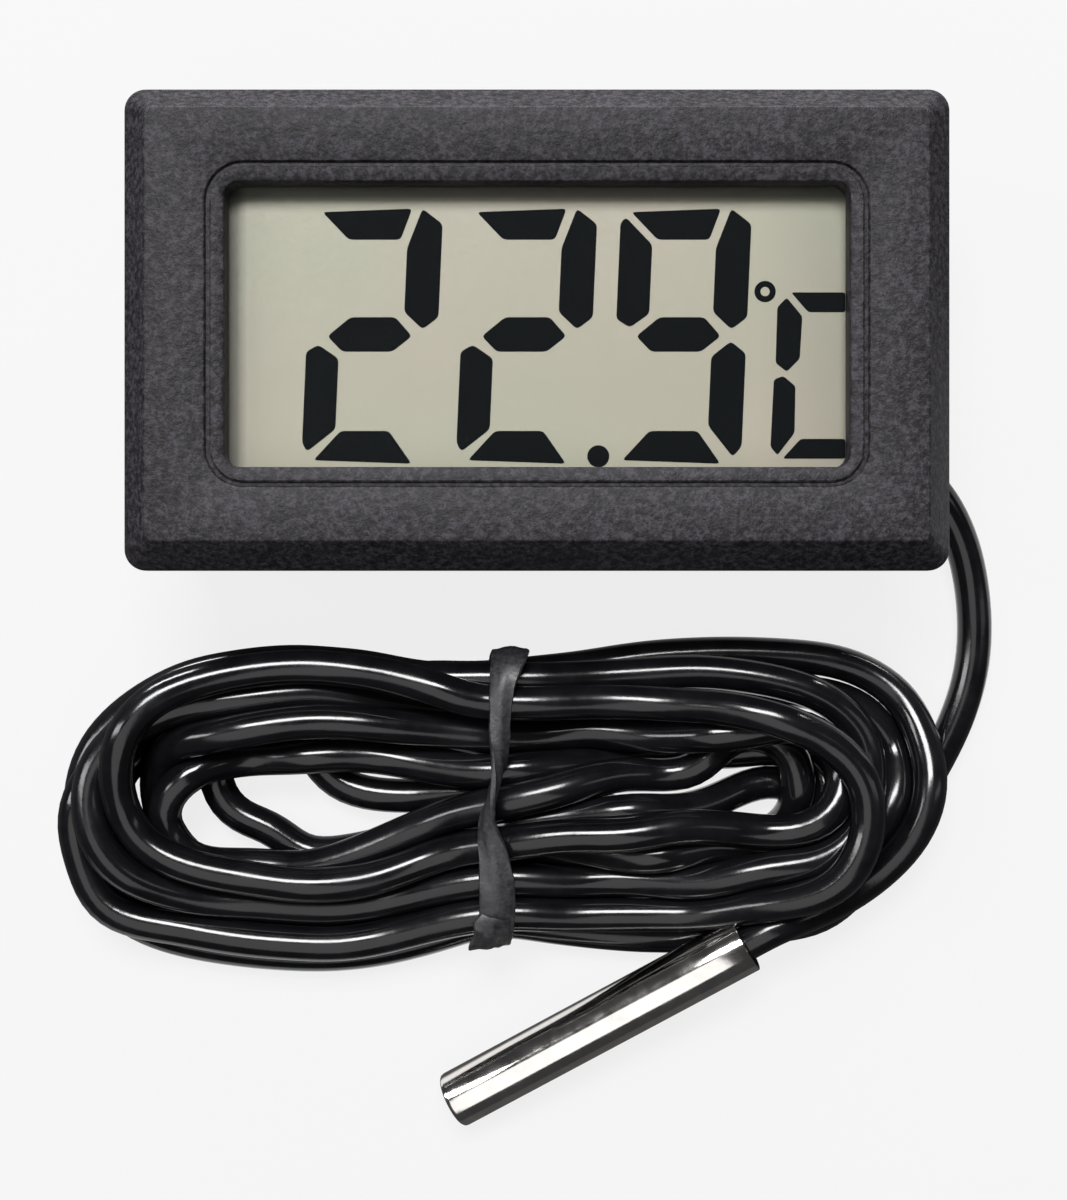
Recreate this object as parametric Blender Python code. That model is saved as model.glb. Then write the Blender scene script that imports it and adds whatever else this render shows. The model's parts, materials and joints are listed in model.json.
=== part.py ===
"""A digital panel thermometer with a remote probe on a cable, lying on its back on a table.

The origin is at the centre of the meter's rear face, which rests on the table. +Z points out
of the display, +X to the display's right and +Y to its top. Lengths are in metres.
"""

import math

import bmesh
import bpy
from mathutils import Matrix, Vector

MM = 0.001

# Case: the bezel's outline, the body behind it, and the depth from the table up.
BEZEL_SIZE = (48.0 * MM, 28.0 * MM)
BEZEL_CORNER = 1.25 * MM
BODY_SIZE = (45.8 * MM, 25.8 * MM)
BODY_CORNER = 1.0 * MM
WALL = 1.3 * MM
DEPTH = 15.2 * MM
FLANGE_BACK = 12.2 * MM
FLANGE_LAND = 12.8 * MM
BEVEL_INSET = 1.75 * MM
FACE_ROUND = 0.12 * MM
FACE_CORNER = 0.35 * MM
FRONT_PLATE_BACK = 13.7 * MM
SEAM = 2.0 * MM
CORNER_STEPS = 6
CURVE_SAMPLES = 400

# Display opening: a step down, a sloping frame, then the lip round the glass.
FRAME_SIZE = (37.8 * MM, 18.5 * MM)
FRAME_CORNER = 2.2 * MM
FRAME_STEP = 0.25 * MM
WINDOW_SIZE = (35.6 * MM, 16.2 * MM)
WINDOW_CORNER = 0.8 * MM
WINDOW_DEPTH = 1.0 * MM

# Spring tongues in the side walls, which hold the meter in a panel's cut-out.
TONGUE_WIDTH = 8.0 * MM
TONGUE_GAP = 0.3 * MM
TONGUE_ROOT = 3.2 * MM
TONGUE_TIP = 11.3 * MM
TONGUE_PIVOT = (22.3 * MM, 3.4 * MM)
TONGUE_SLOT_X = (21.0 * MM, 23.5 * MM)
TONGUE_SLOT_TOP = 11.8 * MM

# Inside the front housing: windows for the rear cover's hooks, and ribs beside the display.
HOOK_WINDOW_Y = (11.0 * MM, 13.5 * MM)
HOOK_WINDOW_Z = (4.2 * MM, 5.8 * MM)
HOOK_PLAY = 0.2 * MM
RIB_X = 10.0 * MM
RIB_HALF_THICKNESS = 0.6 * MM
RIB_REACH = 11.8 * MM
RIB_HEIGHTS = (11.0 * MM, 13.9 * MM)
BOSS_TOP = 14.0 * MM
PILOT_TOP = 12.6 * MM

# Rear cover, with its battery tray, lid recess and snap hooks.
COVER_THICKNESS = 1.8 * MM
COVER_CHAMFER = 0.4 * MM
HOOK_REACH = 12.2 * MM
HOOK_SPAN = (14.0 * MM, 18.0 * MM)
LID_HALF_WIDTH = 13.3 * MM
LID_ENDS = (-2.3 * MM, 12.8 * MM)
LID_THICKNESS = (0.1 * MM, 1.3 * MM)
LID_TONGUE = 0.6 * MM
LID_TONGUE_HEIGHTS = (0.65 * MM, 0.95 * MM)
LID_CLEARANCE = 0.15 * MM
GRIP_GROOVES = (6.2, 7.4, 8.6, 9.8)
GROOVE_SIZE = (5.0, 0.6, 0.45)
TRAY_HEIGHT = 7.0 * MM
TRAY_WALL = 0.8 * MM

# Button cells, side by side in the tray.
CELL_RADIUS = 5.8 * MM
CELL_BASE = 1.5 * MM
CELL_TOP = 6.9 * MM
CELL_OFFSET = 6.2 * MM
CELL_Y = 4.5 * MM
CELL_PLAY = 0.3 * MM

# Circuit board and its screws.
BOARD_SIZE = (42.6 * MM, 22.6 * MM)
BOARD_HEIGHTS = (8.0 * MM, 9.0 * MM)
SCREW_PLACE = (20.0 * MM, 10.1 * MM)
BOSS_RADIUS = 1.3 * MM
SCREW_RADIUS = 0.6 * MM
SCREW_HEAD_RADIUS = 1.25 * MM
STRIP_THICKNESS = 0.2 * MM
STRIP_WIDTH = 2.4 * MM
CHIP_HALF_SIZE = (1.0, 0.6)
CHIP_HEIGHTS = (7.4, 7.95)

# Display stack, from the viewer inwards.
GLASS_HALF = (18.4 * MM, 9.8 * MM)
GLASS_THICKNESS = 0.9 * MM
LEDGE_Y = -7.8 * MM
FILM_HALF = (18.2 * MM, 8.6 * MM)
FILM_THICKNESS = 0.15 * MM
DISPLAY_TOP = 13.62 * MM
LAYER_GAP = 0.05 * MM

# Cable: one metre of thin two-core lead, folded into a tied hank of turns.
CORD_RADIUS = 1.1 * MM
CORD_BORE = 1.4 * MM
CORD_EXIT = Vector((22.9, -7.14, 3.4)) * MM
CORD_EXIT_ANGLE = math.radians(-25)
CORD_GAP = 0.3 * MM
CORD_STEP = 3.2 * MM
HANK_HEIGHT = 6.8 * MM
TIE_SPAN = (-3.8 * MM, -1.2 * MM)
TIE_THICKNESS = 0.5 * MM
TIE_CENTRE = (-28.3 * MM, 3.4 * MM)
TIE_INSIDE = (17.7 * MM, 5.7 * MM)
TIE_CORNER = 1.1 * MM
TIE_PLAY = 0.15 * MM

# Probe: a closed steel tube, lying with its mouth on the hank and its tip on the table.
PROBE_RADIUS = 1.8 * MM
PROBE_WALL = 0.3 * MM
PROBE_MOUTH = Vector((13.25, -37.4, 4.05)) * MM
PROBE_TIP = Vector((-5.4, -47.97, 1.8)) * MM

LEAD_IN_ROUTE = (
    (24.7, -8.1, 3.1),
    (26.2, -9.8, 2.5),
    (27.4, -12.0, 1.75),
    (28.15, -14.6, 1.2),
    (28.4, -17.5, 1.11),
    (28.2, -20.1, 1.11),
    (27.5, -22.7, 1.11),
    (26.3, -25.4, 1.11),
    (24.8, -28.0, 1.11),
    (23.9, -29.5, 1.11),
)
LEAD_OUT_ROUTE = (
    (13.6, -19.45, 3.6),
    (16.2, -19.3, 3.5),
    (18.8, -19.35, 3.5),
    (21.2, -20.1, 3.45),
    (23.3, -21.6, 3.55),
    (24.6, -23.7, 3.75),
    (25.05, -26.1, 3.8),
    (24.9, -28.0, 3.8),
    (24.2, -30.1, 3.7),
    (22.8, -32.1, 3.4),
    (20.6, -34.0, 3.2),
    (18.2, -35.3, 3.45),
)
HANK_OUTLINE = (
    (-31.1, -31.0),
    (-29.9, -25.6),
    (-26.3, -21.3),
    (-20.5, -18.9),
    (-12.0, -18.2),
    (-5.0, -18.9),
    (2.0, -19.3),
    (8.0, -18.8),
    (13.0, -18.35),
    (13.0, -20.9),
    (17.0, -21.5),
    (20.5, -23.8),
    (22.3, -27.4),
    (22.1, -29.8),
    (19.0, -32.2),
    (14.5, -34.5),
    (11.0, -36.2),
    (7.5, -38.0),
    (2.0, -37.6),
    (-9.0, -38.8),
    (-16.0, -39.9),
    (-24.5, -39.2),
    (-29.6, -35.9),
)


def material(name, colour, roughness, metallic=0.0):
    made = bpy.data.materials.new(name)
    made.use_nodes = True
    shader = made.node_tree.nodes["Principled BSDF"]
    shader.inputs["Base Color"].default_value = (*colour, 1.0)
    shader.inputs["Roughness"].default_value = roughness
    shader.inputs["Metallic"].default_value = metallic
    return made


def finish(name, bm, surface, place=None, smooth=True):
    """An object of this mesh. Place is its frame: the points given in it stay where they are."""
    place = place or Matrix.Identity(4)
    bmesh.ops.recalc_face_normals(bm, faces=bm.faces)
    mesh = bpy.data.meshes.new(name)
    bm.to_mesh(mesh)
    bm.free()
    if smooth:
        mesh.shade_smooth()
        mesh.set_sharp_from_angle(angle=math.radians(30))
    made = bpy.data.objects.new(name, mesh)
    made.matrix_world = place
    bpy.context.scene.collection.objects.link(made)
    if surface:
        mesh.materials.append(surface)
    return made


def combine(target, operation, name, bm):
    """Cuts this mesh from the target, or joins it to the target."""
    tool = finish(name, bm, None, smooth=False)
    tool.hide_render = True
    tool.display_type = "WIRE"
    modifier = target.modifiers.new(name, "BOOLEAN")
    modifier.operation = operation
    modifier.object = tool


def rounded_ring(size, corner, height, centre=(0.0, 0.0)):
    """The points of a rectangle with round corners, in a level plane."""
    points = []
    for quarter, (across, up) in enumerate(((1, 1), (-1, 1), (-1, -1), (1, -1))):
        middle_x = centre[0] + across * (size[0] / 2 - corner)
        middle_y = centre[1] + up * (size[1] / 2 - corner)
        for step in range(CORNER_STEPS + 1):
            angle = (quarter + step / CORNER_STEPS) * math.pi / 2
            x = middle_x + corner * math.cos(angle)
            y = middle_y + corner * math.sin(angle)
            points.append(Vector((x, y, height)))
    return points


def circle_ring(radius, height, centre=(0.0, 0.0), steps=32):
    angles = (2 * math.pi * step / steps for step in range(steps))
    return [
        Vector((centre[0] + radius * math.cos(a), centre[1] + radius * math.sin(a), height))
        for a in angles
    ]


def add_loft(bm, rings, closed=False):
    """Faces between each ring of points and the next, with both ends capped or joined up."""
    loops = [[bm.verts.new(point) for point in ring] for ring in rings]
    pairs = list(zip(loops, loops[1:]))
    if closed:
        pairs.append((loops[-1], loops[0]))
    else:
        bm.faces.new(loops[0])
        bm.faces.new(loops[-1])
    for first, second in pairs:
        for i, corner in enumerate(first):
            j = (i + 1) % len(first)
            bm.faces.new((corner, first[j], second[j], second[i]))


def lofted(rings, closed=False):
    bm = bmesh.new()
    add_loft(bm, rings, closed)
    return bm


def turned(profile, closed=False, centre=(0.0, 0.0), steps=32):
    """A round solid from its profile, a list of radius and height in millimetres."""
    return lofted([circle_ring(r * MM, z * MM, centre, steps) for r, z in profile], closed)


def extruded(outline, low, high, axis="Z"):
    """A flat outline pushed along an axis. The outline's two numbers follow the other axes."""
    order = {"X": (2, 0, 1), "Y": (0, 2, 1), "Z": (0, 1, 2)}[axis]
    rings = []
    for level in (low, high):
        flat = [(a, b, level) for a, b in outline]
        rings.append([Vector([point[k] for k in order]) for point in flat])
    return lofted(rings)


def add_box(bm, low, high):
    low, high = Vector(low), Vector(high)
    size = Matrix.Diagonal((*(high - low), 1.0))
    bmesh.ops.create_cube(bm, size=1.0, matrix=Matrix.Translation((low + high) / 2) @ size)


def boxes(*corners):
    """Separate boxes in one mesh, each from its lowest and highest corner in millimetres."""
    bm = bmesh.new()
    for low, high in corners:
        add_box(bm, Vector(low) * MM, Vector(high) * MM)
    return bm


def cylinders(places, radius, low, high, steps=24):
    bm = bmesh.new()
    for centre in places:
        add_loft(bm, [circle_ring(radius, z, centre, steps) for z in (low, high)])
    return bm


def stadium(half_length, radius, centre_y):
    points = []
    for side, start in ((1, -90), (-1, 90)):
        for step in range(17):
            angle = math.radians(start + step * 180 / 16)
            x = side * half_length + radius * math.cos(angle)
            points.append((x, centre_y + radius * math.sin(angle)))
    return points


def strip_outline(route, thickness):
    """The side view of a sheet-metal strip that follows a route of points."""
    route = [Vector(point) * MM for point in route]
    sides = []
    for i, point in enumerate(route):
        before = (point - route[i - 1]).normalized() if i else None
        after = (route[i + 1] - point).normalized() if i < len(route) - 1 else before
        before = before or after
        along = (before + after).normalized()
        width = thickness / 2 / max(0.5, along.dot(before))
        sides.append((point, Vector((-along.y, along.x)) * width))
    return [p + n for p, n in sides] + [p - n for p, n in reversed(sides)]


def through(points):
    """A smooth curve's function through points: it takes a number from 0 to their count less 1."""
    held = [points[0] * 2 - points[1], *points, points[-1] * 2 - points[-2]]

    def at(t):
        i = min(int(t), len(points) - 2)
        a, b, c, d = held[i : i + 4]
        t -= i
        return 0.5 * (
            2 * b + (c - a) * t + (2 * a - 5 * b + 4 * c - d) * t**2
            + (3 * b - a - 3 * c + d) * t**3
        )

    return at


def spaced(points, spacing):
    """Points along the smooth curve through these, as evenly spaced as a whole number allows."""
    curve = through(points)
    fine = [curve(k * (len(points) - 1) / CURVE_SAMPLES) for k in range(CURVE_SAMPLES + 1)]
    reached = [0.0]
    for first, second in zip(fine, fine[1:]):
        reached.append(reached[-1] + (second - first).length)
    count = max(2, round(reached[-1] / spacing))
    found = []
    for k in range(count + 1):
        wanted = reached[-1] * k / count
        i = min(range(CURVE_SAMPLES + 1), key=lambda n: abs(reached[n] - wanted))
        found.append(fine[i])
    return found


def tube(name, points, radius, surface):
    """A round wire or cable along these points, with closed ends."""
    curve = bpy.data.curves.new(name, "CURVE")
    curve.dimensions = "3D"
    curve.bevel_depth = radius
    curve.bevel_resolution = 2
    curve.use_fill_caps = True
    spline = curve.splines.new("POLY")
    spline.points.add(len(points) - 1)
    for slot, point in zip(spline.points, points):
        slot.co = (*point, 1.0)
    curve.materials.append(surface)
    made = bpy.data.objects.new(name, curve)
    bpy.context.scene.collection.objects.link(made)
    return made


def grown(size, by):
    return (size[0] + 2 * by, size[1] + 2 * by)


def make_front_housing(plastic):
    """The bezel and the box behind it: one moulding, made as a section swept round the case."""
    face = grown(BEZEL_SIZE, -BEVEL_INSET)
    inside = grown(BODY_SIZE, -WALL)
    window_edge = DEPTH - WINDOW_DEPTH
    section = (
        (BODY_SIZE, BODY_CORNER, SEAM),
        (BODY_SIZE, BODY_CORNER, FLANGE_BACK),
        (BEZEL_SIZE, BEZEL_CORNER, FLANGE_BACK),
        (BEZEL_SIZE, BEZEL_CORNER, FLANGE_LAND),
        (grown(face, FACE_ROUND), FACE_CORNER + FACE_ROUND, DEPTH - FACE_ROUND),
        (face, FACE_CORNER, DEPTH),
        (FRAME_SIZE, FRAME_CORNER, DEPTH),
        (grown(FRAME_SIZE, -0.1 * MM), FRAME_CORNER - 0.1 * MM, DEPTH - FRAME_STEP),
        (grown(WINDOW_SIZE, 0.1 * MM), WINDOW_CORNER + 0.1 * MM, window_edge),
        (WINDOW_SIZE, WINDOW_CORNER, window_edge - 0.12 * MM),
        (WINDOW_SIZE, WINDOW_CORNER, FRONT_PLATE_BACK),
        (inside, 0.6 * MM, FRONT_PLATE_BACK),
        (inside, 0.6 * MM, SEAM),
    )
    rings = [rounded_ring(size, corner, height) for size, corner, height in section]
    housing = finish("front_housing", lofted(rings, closed=True), plastic)

    slot = TONGUE_WIDTH / 2 + TONGUE_GAP
    slots = bmesh.new()
    for side in (-1, 1):
        ends = sorted(side * x for x in TONGUE_SLOT_X)
        low = (ends[0], -slot, TONGUE_ROOT - TONGUE_GAP)
        add_box(slots, low, (ends[1], slot, TONGUE_SLOT_TOP))
    combine(housing, "DIFFERENCE", "tongue_slots", slots)

    windows = bmesh.new()
    for side in (-1, 1):
        for edge in (-1, 1):
            x = sorted((side * (HOOK_SPAN[0] - HOOK_PLAY), side * (HOOK_SPAN[1] + HOOK_PLAY)))
            y = sorted(edge * reach for reach in HOOK_WINDOW_Y)
            add_box(windows, (x[0], y[0], HOOK_WINDOW_Z[0]), (x[1], y[1], HOOK_WINDOW_Z[1]))
    combine(housing, "DIFFERENCE", "hook_windows", windows)

    # The cable leaves through a slanting arch that is open at the wall's rear edge.
    arch = [(-CORD_BORE, -3.0 * MM), (CORD_BORE, -3.0 * MM)]
    for step in range(13):
        angle = step * math.pi / 12
        arch.append((CORD_BORE * math.cos(angle), CORD_BORE * math.sin(angle)))
    bore = extruded(arch, -3.0 * MM, 3.0 * MM, "X")
    bore.transform(cord_frame())
    combine(housing, "DIFFERENCE", "cable_bore", bore)

    corners = [(x * SCREW_PLACE[0], y * SCREW_PLACE[1]) for x in (-1, 1) for y in (-1, 1)]
    board_front = BOARD_HEIGHTS[1]
    bosses = cylinders(corners, BOSS_RADIUS, board_front + LAYER_GAP, BOSS_TOP)
    combine(housing, "UNION", "screw_bosses", bosses)
    pilots = cylinders(corners, SCREW_RADIUS + 0.12 * MM, board_front - 0.5 * MM, PILOT_TOP, 16)
    combine(housing, "DIFFERENCE", "pilot_holes", pilots)
    ribs = bmesh.new()
    for x in (-RIB_X, RIB_X):
        for edge in (-1, 1):
            y = sorted((edge * (GLASS_HALF[1] + 0.2 * MM), edge * RIB_REACH))
            low = (x - RIB_HALF_THICKNESS, y[0], RIB_HEIGHTS[0])
            add_box(ribs, low, (x + RIB_HALF_THICKNESS, y[1], RIB_HEIGHTS[1]))
    combine(housing, "UNION", "display_ribs", ribs)
    return housing


def make_rear_cover(plastic):
    """The back plate, with its snap hooks, locating lips, battery tray and lid recess."""
    chamfered = grown(BODY_SIZE, -COVER_CHAMFER)
    rings = [
        rounded_ring(chamfered, BODY_CORNER - COVER_CHAMFER, 0.0),
        rounded_ring(BODY_SIZE, BODY_CORNER, COVER_CHAMFER),
        rounded_ring(BODY_SIZE, BODY_CORNER, COVER_THICKNESS),
    ]
    cover = finish("rear_cover", lofted(rings), plastic)
    lips = boxes(
        ((-13.4, -11.3, 1.5), (13.4, -10.3, 3.2)),
        ((-13.4, 10.3, 1.5), (13.4, 11.3, 3.2)),
    )
    combine(cover, "UNION", "locating_lips", lips)

    hooks = bmesh.new()
    barb = ((10.4, 1.5), (11.3, 1.5), (11.3, 4.4), (HOOK_REACH / MM, 4.5), (11.3, 5.6), (10.4, 5.6))
    for side in (-1, 1):
        for edge in (-1, 1):
            x = sorted((side * HOOK_SPAN[0], side * HOOK_SPAN[1]))
            rings = [[Vector((level, edge * y * MM, z * MM)) for y, z in barb] for level in x]
            add_loft(hooks, rings)
    bmesh.ops.recalc_face_normals(hooks, faces=hooks.faces)
    combine(cover, "UNION", "snap_hooks", hooks)

    inner = CELL_RADIUS + CELL_PLAY
    tray = extruded(stadium(CELL_OFFSET, inner + TRAY_WALL, CELL_Y), 1.6 * MM, TRAY_HEIGHT)
    combine(cover, "UNION", "battery_tray", tray)
    wells = extruded(stadium(CELL_OFFSET, inner, CELL_Y), -1.0 * MM, TRAY_HEIGHT + MM)
    combine(cover, "DIFFERENCE", "battery_wells", wells)
    recess = lid_section(LID_CLEARANCE, 0.1 * MM, -1.0 * MM)
    low_end = LID_ENDS[0] - LID_CLEARANCE
    combine(cover, "DIFFERENCE", "lid_recess", extruded(recess, low_end, 14.0 * MM, "Y"))
    slot = boxes(((-13.6, 3.1, 2.2), (-12.0, 5.9, 7.5)))
    combine(cover, "DIFFERENCE", "contact_slot", slot)
    return cover


def lid_section(clearance, rail_clearance, outer_face):
    """The lid's end view, a plate with a tongue along each side, or the recess it slides in."""
    inner_face = LID_THICKNESS[1] + clearance
    low, high = LID_TONGUE_HEIGHTS
    low, high = low - rail_clearance, high + rail_clearance
    plate = LID_HALF_WIDTH + clearance
    tongue = plate + LID_TONGUE
    right = (
        (plate, outer_face), (plate, low), (tongue, low),
        (tongue, high), (plate, high), (plate, inner_face),
    )
    return [*right, *((-x, z) for x, z in reversed(right))]


def make_battery_lid(plastic):
    """The lid slides off towards the case's top edge. Its grip is cut into the outer face."""
    bm = extruded(lid_section(0.0, 0.0, LID_THICKNESS[0]), *LID_ENDS, "Y")
    outer_edge = [
        edge
        for edge in bm.edges
        if all(v.co.y > LID_ENDS[1] - MM and v.co.z < LID_THICKNESS[0] + 0.01 * MM for v in edge.verts)
    ]
    bmesh.ops.bevel(bm, geom=outer_edge, offset=0.3 * MM, segments=1, affect="EDGES")
    centre = Matrix.Translation((0.0, sum(LID_ENDS) / 2, sum(LID_THICKNESS) / 2))
    bm.transform(centre.inverted())
    lid = finish("battery_lid", bm, plastic, centre)
    reach, width, depth = GROOVE_SIZE
    grooves = [((-reach, y, -1.0), (reach, y + width, depth)) for y in GRIP_GROOVES]
    combine(lid, "DIFFERENCE", "grip_grooves", boxes(*grooves))
    arrow = ((-2.2 * MM, 1.6 * MM), (2.2 * MM, 1.6 * MM), (0.0, 4.4 * MM))
    combine(lid, "DIFFERENCE", "arrow_mark", extruded(arrow, -MM, 0.4 * MM))
    return lid


def make_tongue(name, side, plastic):
    """A spring tongue that leans out of its slot and bends in as the meter enters a panel."""
    root, tip = TONGUE_ROOT / MM, TONGUE_TIP / MM
    outline = ((21.8, root), (22.85, root), (23.85, 9.5), (23.25, tip), (22.5, tip), (22.75, 9.2))
    shape = [(side * x * MM, z * MM) for x, z in outline]
    bm = extruded(shape, -TONGUE_WIDTH / 2, TONGUE_WIDTH / 2, "Y")
    pivot = Matrix.Translation((side * TONGUE_PIVOT[0], 0.0, TONGUE_PIVOT[1]))
    bm.transform(pivot.inverted())
    return finish(name, bm, plastic, pivot, smooth=False)


def make_display(glass, film, reflector):
    """Polariser, front glass, rear glass and reflector. The front glass's lower ledge is bare."""
    half_x, half_y = (side / MM for side in GLASS_HALF)
    film_x, film_y = (side / MM for side in FILM_HALF)
    gap = LAYER_GAP / MM
    top = DISPLAY_TOP / MM
    layers = (
        ("display_polariser", film, film_x, -film_y, film_y, FILM_THICKNESS / MM),
        ("display_front_glass", glass, half_x, -half_y, half_y, GLASS_THICKNESS / MM),
        ("display_rear_glass", glass, half_x, LEDGE_Y / MM, half_y, GLASS_THICKNESS / MM),
        ("display_reflector", reflector, film_x, LEDGE_Y / MM, film_y, FILM_THICKNESS / MM),
    )
    for name, surface, reach, low, high, thickness in layers:
        solid = boxes(((-reach, low, top - thickness), (reach, high, top)))
        finish(name, solid, surface, smooth=False)
        top -= thickness + gap


def make_display_supports(rubber, foam):
    """The striped rubber connector from the board to the glass ledge, and a foam pad opposite."""
    strip = boxes(((-16.5, -9.6, 9.05), (16.5, -8.1, 12.45)))
    finish("zebra_connector", strip, rubber, smooth=False)
    pad = boxes(((-15.0, 5.6, 9.05), (15.0, 7.8, 11.25)))
    finish("foam_pad", pad, foam, smooth=False)


def make_board(board_green, epoxy, steel, ceramic, resistor_black):
    corners = [(x * SCREW_PLACE[0], y * SCREW_PLACE[1]) for x in (-1, 1) for y in (-1, 1)]
    low, high = BOARD_HEIGHTS
    rings = [rounded_ring(BOARD_SIZE, 0.6 * MM, height) for height in (low, high)]
    board = finish("circuit_board", lofted(rings), board_green)
    holes = cylinders(corners, SCREW_RADIUS + 0.2 * MM, low - MM, high + MM, 16)
    combine(board, "DIFFERENCE", "board_holes", holes)

    blob = ((3.6, 7.95), (3.5, 7.6), (3.0, 7.15), (2.0, 6.85), (0.8, 6.75))
    finish("chip_blob", turned(blob, centre=(-3.0 * MM, -7.2 * MM)), epoxy)

    crystal = turned(((0.8, 0.0), (1.0, 0.2), (1.0, 5.8), (0.8, 6.0)), steps=24)
    lying = Matrix.Translation((5.0 * MM, -7.4 * MM, 6.9 * MM)) @ Matrix.Rotation(math.pi / 2, 4, "Y")
    finish("timing_crystal", crystal, steel, lying)

    chips = (
        ("resistor_1", resistor_black, (12.6, -6.0)),
        ("resistor_2", resistor_black, (12.6, -8.6)),
        ("capacitor_1", ceramic, (-9.6, -6.0)),
        ("capacitor_2", ceramic, (-9.6, -8.6)),
    )
    half_x, half_y = CHIP_HALF_SIZE
    for name, surface, (x, y) in chips:
        low = (x - half_x, y - half_y, CHIP_HEIGHTS[0])
        high = (x + half_x, y + half_y, CHIP_HEIGHTS[1])
        finish(name, boxes((low, high)), surface, smooth=False)


def make_board_screws(steel):
    """Four self-tapping screws, heads towards the rear, with a cross recess in each head."""
    head = SCREW_HEAD_RADIUS / MM
    shank = SCREW_RADIUS / MM
    profile = (
        (head - 0.4, 6.95), (head - 0.05, 7.2), (head, 7.9),
        (shank, 7.9), (shank, 11.6), (0.15, 12.2),
    )
    arm, reach = 0.14 * MM, 0.75 * MM
    quarter = ((arm, reach), (arm, arm), (reach, arm))
    number = 0
    for x_side in (-1, 1):
        for y_side in (-1, 1):
            number += 1
            centre = Vector((x_side * SCREW_PLACE[0], y_side * SCREW_PLACE[1]))
            place = Matrix.Translation((*centre, 0.0))
            screw = finish(f"board_screw_{number}", turned(profile, steps=16), steel, place)
            cross = []
            for turn in range(4):
                spin = Matrix.Rotation(-turn * math.pi / 2, 2)
                cross += [centre + spin @ Vector(point) for point in quarter]
            combine(screw, "DIFFERENCE", f"cross_recess_{number}", extruded(cross, 6.0 * MM, 7.45 * MM))


def make_cell(number, x, steel, cap_steel, seal_plastic, electrode):
    """A button cell: the positive cup faces the lid, and the negative cap faces the board."""
    centre = (x, CELL_Y)
    base, top, radius = CELL_BASE / MM, CELL_TOP / MM, CELL_RADIUS / MM
    can = (
        (radius - 0.35, base + 0.35), (radius - 0.35, top - 0.75), (radius - 0.6, top - 0.3),
        (radius - 0.3, top - 0.22), (radius, top - 0.6), (radius, base + 0.3), (radius - 0.3, base),
    )
    core = ((radius - 0.45, base + 0.45), (radius - 0.45, top - 1.3))
    seal = (
        (radius - 0.45, top - 1.15), (radius - 0.45, top - 0.8), (radius - 0.72, top - 0.3),
        (radius - 1.05, top - 0.3), (radius - 1.05, top - 1.15),
    )
    cap = (
        (radius - 1.6, top - 0.35), (radius - 1.4, top - 0.6), (radius - 1.4, top - 1.15),
        (radius - 1.15, top - 1.15), (radius - 1.15, top - 0.35), (radius - 1.5, top),
    )
    finish(f"cell_{number}_can", turned(can, centre=centre, steps=40), steel)
    finish(f"cell_{number}_core", turned(core, centre=centre), electrode)
    finish(f"cell_{number}_seal", turned(seal, closed=True, centre=centre), seal_plastic)
    finish(f"cell_{number}_cap", turned(cap, centre=centre), cap_steel)


def make_contacts(spring_metal):
    """Three sheet-metal strips on the board's rear face, which join the two cells in series."""
    strips = {
        "contact_positive": ((-12.3, 3.0), (-12.3, 7.8), (-15.0, 7.8)),
        "contact_link": ((-7.2, 7.25), (-6.2, 7.1), (-3.0, 7.8), (0.0, 7.8), (0.0, 3.0)),
        "contact_negative": ((12.0, 7.8), (9.6, 7.8), (6.4, 7.1), (5.4, 7.25)),
    }
    low, high = CELL_Y - STRIP_WIDTH / 2, CELL_Y + STRIP_WIDTH / 2
    for name, route in strips.items():
        outline = strip_outline(route, STRIP_THICKNESS)
        finish(name, extruded(outline, low, high, "Y"), spring_metal, smooth=False)


def cord_frame():
    """The frame whose X runs along the cable's line through the wall, outwards from the exit."""
    return Matrix.Translation(CORD_EXIT) @ Matrix.Rotation(CORD_EXIT_ANGLE, 4, "Z")


def cord_point(along, sideways=0.0, height=0.0):
    return cord_frame() @ Vector((along, sideways, height))


def make_cable_inside(jacket, red, black, solder, glue_clear):
    """What is inside the wall: the jacket's end in its glue, and two cores to the board."""
    tail_ends = (-5.1 * MM, -1.7 * MM)
    tube("cord_tail", [cord_point(along) for along in tail_ends], CORD_RADIUS, jacket)

    block = bmesh.new()
    add_box(block, (-4.7 * MM, -1.9 * MM, -1.3 * MM), (-2.7 * MM, 1.9 * MM, 2.0 * MM))
    bmesh.ops.bevel(
        block, geom=[e for e in block.edges if min(v.co.z for v in e.verts) > 0],
        offset=0.7 * MM, segments=3, affect="EDGES",
    )
    block.transform(cord_frame())
    glue = finish("cable_glue", block, glue_clear)
    bore = bmesh.new()
    bmesh.ops.create_cone(
        bore, cap_ends=True, segments=24, radius1=CORD_RADIUS + 0.1 * MM,
        radius2=CORD_RADIUS + 0.1 * MM, depth=12.0 * MM,
        matrix=cord_frame() @ Matrix.Rotation(math.pi / 2, 4, "Y"),
    )
    combine(glue, "DIFFERENCE", "glue_bore", bore)

    for name, surface, sideways, pad_y in (
        ("core_wire_a", red, 0.55 * MM, -3.2 * MM),
        ("core_wire_b", black, -0.55 * MM, -6.6 * MM),
    ):
        start = tail_ends[0] - 0.2 * MM
        pad = Vector((16.4 * MM, pad_y, 7.1 * MM))
        route = [
            cord_point(start, sideways),
            cord_point(start - 0.9 * MM, sideways * 1.3, 0.4 * MM),
            pad + Vector((0.3 * MM, 0.0, -1.6 * MM)),
            pad,
        ]
        tube(name, spaced(route, 0.8 * MM), 0.4 * MM, surface)
        dome = turned(((0.9, 7.95), (0.75, 7.55), (0.45, 7.25)), centre=(pad.x, pad.y), steps=16)
        finish(name.replace("core_wire", "solder_joint"), dome, solder)


def probe_axis():
    return (PROBE_TIP - PROBE_MOUTH).normalized()


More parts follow.
